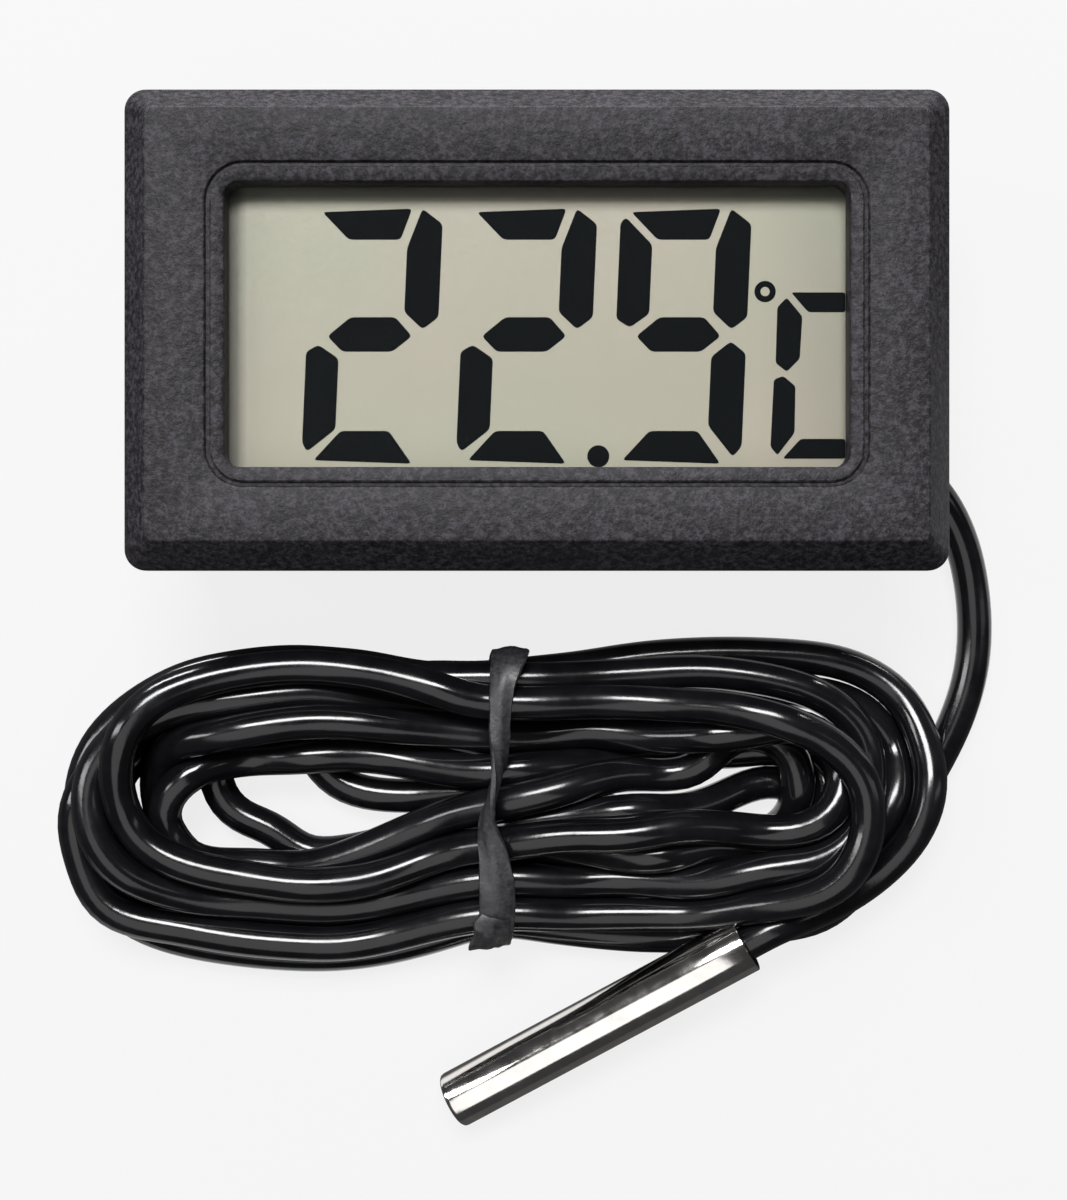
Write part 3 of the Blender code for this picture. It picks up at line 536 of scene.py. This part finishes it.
class Nodes:
    """A material's node tree, with short calls for the nodes that the surfaces share."""

    def __init__(self, name):
        self.material = bpy.data.materials.new(name)
        self.material.use_nodes = True
        self.tree = self.material.node_tree
        self.shader = self.tree.nodes["Principled BSDF"]

    def add(self, kind, **settings):
        """A new node of this kind, with these settings."""
        node = self.tree.nodes.new(kind)
        for key, value in settings.items():
            setattr(node, key, value)
        return node

    def link(self, source, target):
        self.tree.links.new(source, target)

    def set(self, **values):
        """Constants on the shader's own sockets, named with _ for each space."""
        for key, value in values.items():
            self.shader.inputs[key.replace("_", " ")].default_value = value

    def place(self):
        """Where a point is, in the object's own metres."""
        return self.add("ShaderNodeTexCoord").outputs["Object"]

    def noise(self, scale, detail=3.0, roughness=0.5, stretch=(1, 1, 1)):
        """Noise of this many features per millimetre."""
        mapping = self.add("ShaderNodeMapping")
        mapping.inputs["Scale"].default_value = [s / MM for s in stretch]
        self.link(self.place(), mapping.inputs["Vector"])
        node = self.add("ShaderNodeTexNoise")
        node.inputs["Scale"].default_value = scale
        node.inputs["Detail"].default_value = detail
        node.inputs["Roughness"].default_value = roughness
        self.link(mapping.outputs["Vector"], node.inputs["Vector"])
        return node.outputs["Fac"]

    def ramp(self, value, *stops):
        """Colours that follow a value, each stop being a value and its colour."""
        node = self.add("ShaderNodeValToRGB")
        while len(node.color_ramp.elements) < len(stops):
            node.color_ramp.elements.new(0.5)
        for element, (place, colour) in zip(node.color_ramp.elements, stops):
            element.position = place
            element.color = (*colour, 1.0)
        self.link(value, node.inputs["Fac"])
        return node.outputs["Color"]

    def range(self, value, low, high, start=0.0, end=1.0):
        """A value from low to high, as the input goes from start to end."""
        node = self.add("ShaderNodeMapRange")
        self.link(value, node.inputs["Value"])
        for key, number in zip(("From Min", "From Max", "To Min", "To Max"), (start, end, low, high)):
            node.inputs[key].default_value = number
        return node.outputs["Result"]

    def bump(self, value, depth, strength=1.0, after=None):
        """A normal raised by a value, to this many millimetres."""
        node = self.add("ShaderNodeBump")
        node.inputs["Distance"].default_value = depth * MM
        node.inputs["Strength"].default_value = strength
        self.link(value, node.inputs["Height"])
        if after:
            self.link(after, node.inputs["Normal"])
        return node.outputs["Normal"]

    def colour(self, output):
        self.link(output, self.shader.inputs["Base Color"])

    def rough(self, output):
        self.link(output, self.shader.inputs["Roughness"])

    def normal(self, output):
        self.link(output, self.shader.inputs["Normal"])


# The surfaces without a function of their own: two colours, roughness, metallic value and, where
# it isn't the usual one, the depth of the relief in millimetres.
PLAIN_SURFACES = {
    "connector_rubber": ((0.42, 0.4, 0.34), (0.52, 0.5, 0.44), 0.6),
    "foam": ((0.02, 0.02, 0.02), (0.045, 0.045, 0.045), 0.9, 0.0, 0.05),
    "board_laminate": ((0.012, 0.1, 0.035), (0.025, 0.16, 0.06), 0.4),
    "epoxy": ((0.008, 0.008, 0.008), (0.014, 0.014, 0.015), 0.3),
    "steel": ((0.56, 0.55, 0.54), (0.68, 0.67, 0.66), 0.25, 1.0),
    "cap_steel": ((0.62, 0.6, 0.55), (0.74, 0.72, 0.67), 0.3, 1.0),
    "contact_metal": ((0.68, 0.63, 0.48), (0.8, 0.75, 0.6), 0.28, 1.0),
    "solder": ((0.6, 0.6, 0.62), (0.72, 0.72, 0.74), 0.3, 1.0),
    "seal_plastic": ((0.2, 0.25, 0.16), (0.28, 0.33, 0.22), 0.5),
    "electrode": ((0.04, 0.04, 0.04), (0.08, 0.08, 0.08), 0.85),
    "capacitor_ceramic": ((0.4, 0.29, 0.17), (0.5, 0.37, 0.23), 0.5),
    "resistor_black": ((0.012, 0.012, 0.012), (0.03, 0.03, 0.03), 0.35),
    "core_red": ((0.45, 0.015, 0.015), (0.55, 0.03, 0.03), 0.35),
    "core_black": ((0.012, 0.012, 0.012), (0.024, 0.024, 0.024), 0.35),
    "hot_glue": ((0.62, 0.58, 0.47), (0.74, 0.7, 0.6), 0.35),
    "bead_epoxy": ((0.04, 0.032, 0.03), (0.06, 0.048, 0.045), 0.3),
}
PLAIN_GRAIN = 2.0


def simple_surface(name, dark, light, roughness, metallic=0.0, depth=0.004):
    """A surface with a little variation in its colour, its gloss and its relief."""
    made = Nodes(name)
    grain = made.noise(PLAIN_GRAIN)
    made.colour(made.ramp(grain, (0.3, dark), (0.7, light)))
    made.rough(made.range(grain, roughness * 0.85, roughness * 1.15, 0.3, 0.7))
    made.normal(made.bump(made.noise(PLAIN_GRAIN * 4), depth))
    made.set(Metallic=metallic)
    return made.material


def case_surface():
    """Black moulded plastic with a fine spark-eroded texture."""
    made = Nodes("case_plastic")
    mottle = made.noise(2.6, 5.0, 0.8)
    made.colour(made.ramp(
        mottle,
        (0.4, (0.005, 0.0045, 0.0055)),
        (0.5, (0.0138, 0.0126, 0.0152)),
        (0.6, (0.035, 0.0325, 0.0385)),
    ))
    made.rough(made.range(mottle, 0.45, 0.6, 0.3, 0.7))
    coarse = made.bump(made.noise(4.0, 2.0), 0.035, 1.0)
    made.normal(made.bump(made.noise(10.0, 2.0), 0.016, 1.0, coarse))
    made.set(IOR=1.4, Specular_IOR_Level=0.2)
    return made.material


def jacket_surface():
    """Glossy black cable jacket with faint extrusion marks and handling haze."""
    made = Nodes("cable_jacket")
    haze = made.noise(0.35, 4.0, 0.6)
    made.colour(made.ramp(haze, (0.35, (0.0025, 0.0025, 0.003)), (0.7, (0.0055, 0.0055, 0.0066))))
    made.rough(made.range(haze, 0.13, 0.22, 0.35, 0.7))
    made.normal(made.bump(made.noise(1.6, 2.0), 0.012, 0.5))
    made.set(IOR=1.5, Specular_IOR_Level=0.42)
    return made.material


def tie_surface():
    """The tie's dull black plastic, scuffed where it was twisted."""
    made = Nodes("tie_plastic")
    grain = made.noise(3.0, 5.0, 0.7)
    made.colour(made.ramp(grain, (0.35, (0.008, 0.008, 0.009)), (0.65, (0.022, 0.022, 0.025))))
    made.rough(made.range(grain, 0.38, 0.6, 0.3, 0.7))
    made.normal(made.bump(made.noise(5.0, 3.0), 0.03, 0.7))
    return made.material


def probe_surface():
    """Drawn stainless tube: nearly a mirror, with fine marks along and round it."""
    made = Nodes("probe_steel")
    haze = made.noise(0.8, 4.0, 0.6)
    made.colour(made.ramp(haze, (0.3, (0.66, 0.63, 0.6)), (0.7, (0.8, 0.78, 0.75))))
    made.rough(made.range(haze, 0.07, 0.16, 0.3, 0.7))
    made.normal(made.bump(made.noise(3.0, 3.0, 0.6), 0.003, 0.5))
    made.set(Metallic=1.0)
    return made.material


def clear_surface(name, colour, alpha, roughness):
    """A clear sheet that is seen only by its gloss and a trace of its colour."""
    made = Nodes(name)
    haze = made.noise(0.15, 2.0)
    made.colour(made.ramp(haze, (0.3, tuple(c * 0.94 for c in colour)), (0.7, colour)))
    made.rough(made.range(haze, roughness * 0.9, roughness * 1.1, 0.3, 0.7))
    made.set(Alpha=alpha, IOR=1.5)
    return made.material


def reflector_surface():
    """The display's grey-green backing: a faint drift of tint, and painted shade in darker bands along
    its left, top and right edges.
    """
    made = Nodes("display_reflector")
    drift = made.noise(0.06, 2.0)
    tint = made.ramp(
        drift,
        (0.35, (0.215, 0.214, 0.158)),
        (0.5, (0.227, 0.214, 0.162)),
        (0.68, (0.242, 0.218, 0.17)),
    )
    split = made.add("ShaderNodeSeparateXYZ")
    made.link(made.place(), split.inputs[0])
    half = (WINDOW_SIZE[0] * MM / 2, WINDOW_SIZE[1] * MM / 2)
    # Painted shade: the tint is darkened towards the left, right and top edges, where the frame's walls
    # shade the backing.
    painted_shade_bands = (
        (split.outputs["X"], 0.4, 1.0, -half[0] + 0.4 * MM, -half[0] + 1.0 * MM),
        (split.outputs["X"], 0.8, 1.0, half[0] - 0.3 * MM, half[0] - 5.0 * MM),
        (split.outputs["Y"], 0.3, 1.0, half[1] - 0.35 * MM, half[1] - 0.85 * MM),
    )
    for value, low, high, start, end in painted_shade_bands:
        scale = made.add("ShaderNodeVectorMath", operation="SCALE")
        made.link(tint, scale.inputs[0])
        made.link(made.range(value, low, high, start, end), scale.inputs["Scale"])
        tint = scale.outputs["Vector"]
    made.colour(tint)
    made.rough(made.range(made.noise(6.0), 0.45, 0.6, 0.3, 0.7))
    made.normal(made.bump(made.noise(12.0), 0.003, 0.4))
    return made.material


def dress_cad(frame):
    """Gives every CAD node the surface of its slot."""
    surfaces = {
        "case_plastic": case_surface(),
        "cable_jacket": jacket_surface(),
        "tie_plastic": tie_surface(),
        "probe_steel": probe_surface(),
        "display_reflector": reflector_surface(),
        "polariser_film": clear_surface("polariser_film", (0.12, 0.12, 0.1), 0.02, 0.4),
        "display_glass": clear_surface("display_glass", (0.1, 0.12, 0.11), 0.012, 0.06),
    }
    surfaces.update({name: simple_surface(name, *row) for name, row in PLAIN_SURFACES.items()})
    for row in frame["record"]["subparts"]:
        mesh = frame["nodes"][row["node"]].data
        mesh.materials.clear()
        mesh.materials.append(surfaces[row["material_slot"]])
    return surfaces


# ---------------------------------------------------------------- helpers

def put(name, bm, surface, body="meter", smooth=30):
    """A finished piece of this mesh, which rides on a body."""
    bmesh.ops.recalc_face_normals(bm, faces=bm.faces)
    mesh = bpy.data.meshes.new(name)
    bm.to_mesh(mesh)
    bm.free()
    if smooth:
        mesh.shade_smooth()
        mesh.set_sharp_from_angle(angle=math.radians(smooth))
    mesh.materials.append(surface)
    made = bpy.data.objects.new(name, mesh)
    bpy.context.scene.collection.objects.link(made)
    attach(made, body)
    return made


def add_loft(bm, rings, closed=False, caps=True):
    """Faces between each ring of points and the next."""
    loops = [[bm.verts.new(point) for point in ring] for ring in rings]
    pairs = list(zip(loops, loops[1:]))
    if closed:
        pairs.append((loops[-1], loops[0]))
    elif caps:
        bm.faces.new(loops[0])
        bm.faces.new(loops[-1])
    for first, second in pairs:
        for i, corner in enumerate(first):
            j = (i + 1) % len(first)
            bm.faces.new((corner, first[j], second[j], second[i]))


def rounded_ring(size, corner, height):
    """The points, in metres, of a rectangle with round corners, in a level plane."""
    points = []
    for quarter, (across, up) in enumerate(((1, 1), (-1, 1), (-1, -1), (1, -1))):
        middle_x = across * (size[0] / 2 - corner)
        middle_y = up * (size[1] / 2 - corner)
        for step in range(CORNER_STEPS + 1):
            angle = (quarter + step / CORNER_STEPS) * math.pi / 2
            x = middle_x + corner * math.cos(angle)
            y = middle_y + corner * math.sin(angle)
            points.append(Vector((x, y, height)) * MM)
    return points


def add_box(bm, low, high):
    """A box between two corners, in millimetres."""
    low, high = Vector(low) * MM, Vector(high) * MM
    size = Matrix.Diagonal((*(high - low), 1.0))
    bmesh.ops.create_cube(bm, size=1.0, matrix=Matrix.Translation((low + high) / 2) @ size)


def add_mirrored_box(bm, x, y, z, across, up):
    """A box with these ranges, on the side that each sign says in X and in Y."""
    x, y = sorted(across * value for value in x), sorted(up * value for value in y)
    add_box(bm, (x[0], y[0], z[0]), (x[1], y[1], z[1]))


def boolean(target, operation, bm):
    """Cuts this mesh from the target's, or joins it to it, for good."""
    bmesh.ops.recalc_face_normals(bm, faces=bm.faces)
    mesh = bpy.data.meshes.new("tool")
    bm.to_mesh(mesh)
    bm.free()
    tool = bpy.data.objects.new("tool", mesh)
    bpy.context.scene.collection.objects.link(tool)
    modifier = target.modifiers.new("cut", "BOOLEAN")
    modifier.operation = operation
    modifier.object = tool
    graph = bpy.context.evaluated_depsgraph_get()
    result = bpy.data.meshes.new_from_object(target.evaluated_get(graph))
    target.modifiers.clear()
    target.data = result
    bpy.data.objects.remove(tool, do_unlink=True)


# ---------------------------------------------------------------- case

def grown(size, by):
    """An outline's size with this much more on each side."""
    return (size[0] + 2 * by, size[1] + 2 * by)


def edge_arc(size, corner, height, radius, start, end, steps=4):
    """Rings round an edge: an arc about a point this far inside the outline, in degrees."""
    rings = []
    for step in range(steps + 1):
        angle = math.radians(start + (end - start) * step / steps)
        by = radius * (math.cos(angle) - 1)
        rings.append((grown(size, by), max(corner + by, 0.05), height + radius * math.sin(angle)))
    return rings


def case_section():
    """The housing's section as rings: outline, corner radius and height, from the seam round."""
    face = grown(BEZEL_SIZE, -BEVEL_INSET)
    inside = grown(BODY_SIZE, -WALL)
    frame_inner = grown(FRAME_SIZE, -GROOVE_WIDTH)
    return [
        # the box, from its back edge to the flange
        (grown(BODY_SIZE, -0.12), BODY_CORNER - 0.12, SEAM),
        (BODY_SIZE, BODY_CORNER, SEAM + 0.12),
        (BODY_SIZE, BODY_CORNER, FLANGE_BACK - 0.1),
        (grown(BODY_SIZE, 0.1), BODY_CORNER + 0.1, FLANGE_BACK),
        # the bezel's side, its bevel and its face
        *edge_arc(BEZEL_SIZE, BEZEL_CORNER, FLANGE_BACK + 0.15, 0.15, -90, 0, 3),
        *edge_arc(BEZEL_SIZE, BEZEL_CORNER, FLANGE_LAND - 0.05, 0.35, 0, 36, 4),
        *edge_arc(grown(face, 0.17), FACE_CORNER + 0.17, DEPTH - 0.17, 0.17, 36, 90, 5),
        # the groove round the window's frame
        (grown(FRAME_SIZE, 0.16), FRAME_CORNER + 0.16, DEPTH),
        (grown(FRAME_SIZE, 0.06), FRAME_CORNER + 0.06, DEPTH - 0.035),
        (FRAME_SIZE, FRAME_CORNER, DEPTH - 0.12),
        (grown(FRAME_SIZE, -0.03), FRAME_CORNER - 0.03, DEPTH - GROOVE_DEPTH),
        (frame_inner, FRAME_CORNER - GROOVE_WIDTH, DEPTH - GROOVE_DEPTH),
        (grown(frame_inner, -0.04), FRAME_CORNER - GROOVE_WIDTH - 0.04, DEPTH - 0.1),
        (grown(frame_inner, -0.12), FRAME_CORNER - GROOVE_WIDTH - 0.12, DEPTH - 0.05),
        # the window's rounded rim, and the opening down through the front plate
        (grown(WINDOW_SIZE, 0.22), WINDOW_CORNER + 0.22, DEPTH - 0.08),
        (grown(WINDOW_SIZE, 0.08), WINDOW_CORNER + 0.08, DEPTH - 0.15),
        (grown(WINDOW_SIZE, 0.02), WINDOW_CORNER + 0.02, DEPTH - 0.3),
        (WINDOW_SIZE, WINDOW_CORNER, WINDOW_RIM - 0.2),
        (WINDOW_SIZE, WINDOW_CORNER, FRONT_PLATE_BACK),
        # the box's inside
        (inside, 0.6, FRONT_PLATE_BACK),
        (inside, 0.6, SEAM),
    ]


def make_case(surface):
    """The front housing, with its spring slots, hook windows, cable arch, bosses and ribs."""
    bm = bmesh.new()
    rings = [rounded_ring(*row) for row in case_section()]
    add_loft(bm, rings, closed=True)
    case = put("case_front", bm, surface, smooth=0)

    cuts = bmesh.new()
    for side in (-1, 1):
        add_mirrored_box(cuts, *CLIP_SLOT, side, 1)
        for edge in (-1, 1):
            add_mirrored_box(cuts, *HOOK_WINDOW, side, edge)
    boolean(case, "DIFFERENCE", cuts)

    arch = bmesh.new()
    outline = [(-CORD_ARCH_RADIUS, -CORD_ARCH_REACH), (CORD_ARCH_RADIUS, -CORD_ARCH_REACH)]
    for k in range(25):
        angle = k * math.pi / 24
        outline.append((CORD_ARCH_RADIUS * math.cos(angle), CORD_ARCH_RADIUS * math.sin(angle)))
    ends = (-CORD_ARCH_REACH, CORD_ARCH_REACH)
    add_loft(arch, [[Vector((x, y, z)) * MM for y, z in outline] for x in ends])
    place = Matrix.Translation(Vector(CORD_EXIT) * MM) @ Matrix.Rotation(CORD_EXIT_ANGLE, 4, "Z")
    arch.transform(place)
    boolean(case, "DIFFERENCE", arch)

    posts = bmesh.new()
    for across in (-1, 1):
        for up in (-1, 1):
            centre = Vector((across * POST_PLACE[0], up * POST_PLACE[1], 0.0))
            circle = [(math.cos(k * math.pi / 16), math.sin(k * math.pi / 16)) for k in range(32)]
            rings = [
                [(centre + Vector((r * a, r * b, z))) * MM for a, b in circle]
                for r, z in POST_PROFILE
            ]
            add_loft(posts, rings)
            rib_x = (RIB_X - RIB_HALF_WIDTH, RIB_X + RIB_HALF_WIDTH)
            add_mirrored_box(posts, rib_x, RIB_Y, RIB_HEIGHTS, across, up)
    boolean(case, "UNION", posts)
    case.data.shade_smooth()
    case.data.set_sharp_from_angle(angle=math.radians(32))
    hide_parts("front_housing")


# ---------------------------------------------------------------- display

PANEL_TOP = 13.05
WINDOW_HEIGHTS = (13.1, 13.62)
INK_HEIGHTS = (13.04, 13.065)
DIGIT_PITCH = 8.96
DIGIT_PLACE = (-9.56, -0.39)
DIGIT_SLANT = math.tan(math.radians(2.5))
POINT_PLACE = (3.56, -7.36)
POINT_RADIUS = 0.64
DEGREE_PLACE = (13.24, 2.2)
DEGREE_RADII = (0.62, 0.27)
# One digit's segments about its middle, in millimetres.
SEGMENTS = {
    "top": ((-3.2, 7.2), (2.0, 7.4), (1.4, 5.6), (-1.6, 5.6)),
    "upper_right": ((2.6, 7.4), (3.8, 6.5), (3.8, 1.1), (2.9, 0.4), (1.8, 1.4), (1.8, 5.1)),
    "upper_left": ((-3.8, 6.6), (-3.5, 6.9), (-1.9, 5.3), (-1.9, 1.3), (-3.0, 0.5), (-3.8, 1.0)),
    "middle": ((-2.6, 0.0), (-1.3, 1.1), (1.3, 1.1), (2.3, 0.0), (1.2, -0.9), (-1.7, -0.9)),
    "lower_left": ((-3.1, -0.5), (-1.9, -1.3), (-1.9, -5.4), (-3.5, -6.7), (-3.8, -6.2), (-3.8, -0.9)),
    "lower_right": ((2.9, -0.3), (3.8, -1.0), (3.8, -6.4), (3.3, -7.0), (1.8, -5.2), (1.8, -1.2)),
    "bottom": ((-1.6, -5.5), (1.2, -5.5), (2.6, -7.4), (-3.1, -7.2)),
}
LIT = {
    "2": ("top", "upper_right", "middle", "lower_left", "bottom"),
    "9": ("top", "upper_right", "upper_left", "middle", "lower_right", "bottom"),
}
READING = "229"
# The left part of the unit's letter, which runs on behind the frame.
LETTER = (
    ((14.75, 2.15), (17.9, 2.15), (17.9, 1.0), (15.75, 1.0)),
    ((13.95, 1.3), (14.5, 1.85), (15.4, 0.75), (15.25, -1.7), (14.5, -2.45), (13.85, -1.95)),
    ((13.75, -2.9), (14.3, -2.7), (15.0, -3.3), (14.95, -6.0), (13.95, -7.3), (13.55, -6.8)),
    ((15.3, -6.35), (17.9, -6.35), (17.9, -7.5), (14.25, -7.5)),
)


def add_prism(bm, outline, low, high):
    """An upright prism: its outline in millimetres, and its heights in metres."""
    add_loft(bm, [[Vector((x * MM, y * MM, z)) for x, y in outline] for z in (low, high)])


def rounded_outline(outline, radius=0.22):
    """The outline with each corner cut by two short edges, so that it looks printed."""
    made = []
    count = len(outline)
    for i in range(count):
        before, here, after = (Vector(outline[(i + k) % count]) for k in (-1, 0, 1))
        for other in (before, after):
            made.append(here + (other - here).normalized() * radius)
        corner = made[-2] * 0.25 + made[-1] * 0.25 + here * 0.5
        made.insert(-1, corner)
    return made


def make_digits(surface):
    """The reading: three slanted digits, a point, a ring and the left part of a letter."""
    low, high = (height * MM for height in INK_HEIGHTS)

    def slanted(outline, x, y):
        return [(x + a + b * DIGIT_SLANT, y + b) for a, b in outline]

    for number, digit in enumerate(READING):
        bm = bmesh.new()
        x = DIGIT_PLACE[0] + number * DIGIT_PITCH
        for name in LIT[digit]:
            outline = slanted(rounded_outline(SEGMENTS[name]), x, DIGIT_PLACE[1])
            add_prism(bm, outline, low, high)
        put(f"digit_{number + 1}", bm, surface, smooth=0)

    marks = bmesh.new()
    circle = [(math.cos(k * math.pi / 16), math.sin(k * math.pi / 16)) for k in range(32)]
    x, y = POINT_PLACE
    add_prism(marks, [(x + POINT_RADIUS * a, y + POINT_RADIUS * b) for a, b in circle], low, high)
    x, y = DEGREE_PLACE
    outer, inner = DEGREE_RADII
    add_loft(marks, [
        [Vector(((x + radius * a) * MM, (y + radius * b) * MM, z)) for a, b in circle]
        for radius, z in ((outer, low), (outer, high), (inner, high), (inner, low))
    ], closed=True)
    for outline in LETTER:
        add_prism(marks, rounded_outline(outline, 0.15), low, high)
    put("display_marks", marks, surface, smooth=0)


def make_display(panel_surface, window_surface):
    """The liquid crystal's grey-green panel, and the thin clear window over it."""
    glass_low, glass_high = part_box("display_front_glass")
    rear_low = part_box("display_reflector")[0]
    size = ((glass_high.x - glass_low.x) / MM, (glass_high.y - glass_low.y) / MM)
    panel = make_pane("display_panel", panel_surface, size, rear_low.z / MM, PANEL_TOP)
    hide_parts("display_rear_glass", "display_reflector")
    window = make_pane("display_window", window_surface, size, *WINDOW_HEIGHTS)
    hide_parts("display_front_glass", "display_polariser")


def make_pane(name, surface, size, low, high, corner=0.3, edge=0.06):
    """A flat pane between two heights, with its corners rounded and its edges taken off."""
    bm = bmesh.new()
    add_loft(bm, [
        rounded_ring(grown(size, by), corner + by, z)
        for by, z in ((-edge, low), (0.0, low + edge), (0.0, high - edge), (-edge, high))
    ])
    return put(name, bm, surface)


def ink_surface():
    """The display's dark segments, dull and very slightly blue."""
    made = Nodes("display_ink")
    grain = made.noise(1.0)
    made.colour(made.ramp(grain, (0.3, (0.001, 0.0014, 0.0022)), (0.7, (0.0016, 0.0021, 0.003))))
    made.rough(made.range(grain, 0.5, 0.65, 0.3, 0.7))
    made.set(Specular_IOR_Level=0.02)
    return made.material


# ---------------------------------------------------------------- stage

def make_stage():
    """The world, the floor and the lamps."""
    world = bpy.data.worlds.new("studio")
    bpy.context.scene.world = world
    world.use_nodes = True
    nodes, links = world.node_tree.nodes, world.node_tree.links
    background = nodes["Background"]
    path = nodes.new("ShaderNodeLightPath")
    mix = nodes.new("ShaderNodeMixShader")
    seen = nodes.new("ShaderNodeBackground")
    background.inputs["Color"].default_value = WORLD_LIGHT
    background.inputs["Strength"].default_value = 1.0
    seen.inputs["Color"].default_value = WORLD_SEEN
    links.new(path.outputs["Is Camera Ray"], mix.inputs["Fac"])
    links.new(background.outputs[0], mix.inputs[1])
    links.new(seen.outputs[0], mix.inputs[2])
    links.new(mix.outputs[0], nodes["World Output"].inputs["Surface"])

    bm = bmesh.new()
    bmesh.ops.create_circle(bm, cap_ends=True, segments=96, radius=FLOOR_RADIUS)
    mesh = bpy.data.meshes.new("floor")
    bm.to_mesh(mesh)
    bm.free()
    floor = bpy.data.objects.new("floor", mesh)
    floor.location.z = -FLOOR_DROP * MM
    bpy.context.scene.collection.objects.link(floor)
    mesh.materials.append(floor_surface())

    for name, row in LAMPS.items():
        lamp(name, *row)


def floor_surface():
    """Pale and even to the camera. To reflections it is dark, but for a bright strip by the probe."""
    made = Nodes("floor")
    made.set(Base_Color=FLOOR_COLOUR, Roughness=0.9, Specular_IOR_Level=0.0)
    made.set(Emission_Color=(1.0, 1.0, 1.0, 1.0))
    path = made.add("ShaderNodeLightPath")
    beside = Vector((PROBE_MOUTH[1] - PROBE_TIP[1], PROBE_TIP[0] - PROBE_MOUTH[0], 0.0)).normalized()
    away = made.add("ShaderNodeVectorMath", operation="DOT_PRODUCT")
    made.link(made.place(), away.inputs[0])
    away.inputs[1].default_value = -beside
    start = -beside.dot(Vector(PROBE_TIP)) * MM
    strip = made.add("ShaderNodeMix")
    strip.inputs["B"].default_value = FLOOR_SEEN
    made.link(path.outputs["Is Camera Ray"], strip.inputs["Factor"])
    rise, fall = ([start + distance * MM for distance in ends] for ends in (STRIP_RISE, STRIP_FALL))
    near = made.range(away.outputs["Value"], 0.0, 1.0, *rise)
    far = made.range(away.outputs["Value"], 1.0, 0.0, *fall)
    both = made.add("ShaderNodeMath", operation="MULTIPLY")
    made.link(near, both.inputs[0])
    made.link(far, both.inputs[1])
    made.link(both.outputs["Value"], strip.inputs["A"])
    made.link(strip.outputs["Result"], made.shader.inputs["Emission Strength"])
    return made.material


def lamp(name, place, target, size, power, along):
    """A soft rectangular lamp that faces the target, with its second side turned towards `along`."""
    data = bpy.data.lights.new(name, "AREA")
    data.shape = "RECTANGLE"
    data.size, data.size_y = size
    data.energy = power
    light = bpy.data.objects.new(name, data)
    light.location = place
    light.visible_camera = False
    back = (Vector(place) - Vector(target)).normalized()
    upright = (Vector(along) - back * back.dot(Vector(along))).normalized()
    light.rotation_euler = Matrix((upright.cross(back), upright, back)).transposed().to_euler()
    bpy.context.scene.collection.objects.link(light)


def main():
    """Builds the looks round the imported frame."""
    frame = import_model()
    bpy.context.scene.view_settings.view_transform = "Standard"
    make_camera()
    surfaces = dress_cad(frame)
    inside = ("probe_potting", "thermistor_bead", "thermistor_leg_a", "thermistor_leg_b")
    on_cable = [make_tie(surfaces["tie_plastic"]), make_probe(surfaces["probe_steel"])]
    on_cable += [frame["nodes"][name] for name in inside]
    line = settle(smooth_line(cable_route(), SEGMENT))
    make_cable(line, surfaces["cable_jacket"])
    make_case(surfaces["case_plastic"])
    make_display(surfaces["display_reflector"], surfaces["display_glass"])
    make_digits(ink_surface())
    make_stage()


main()
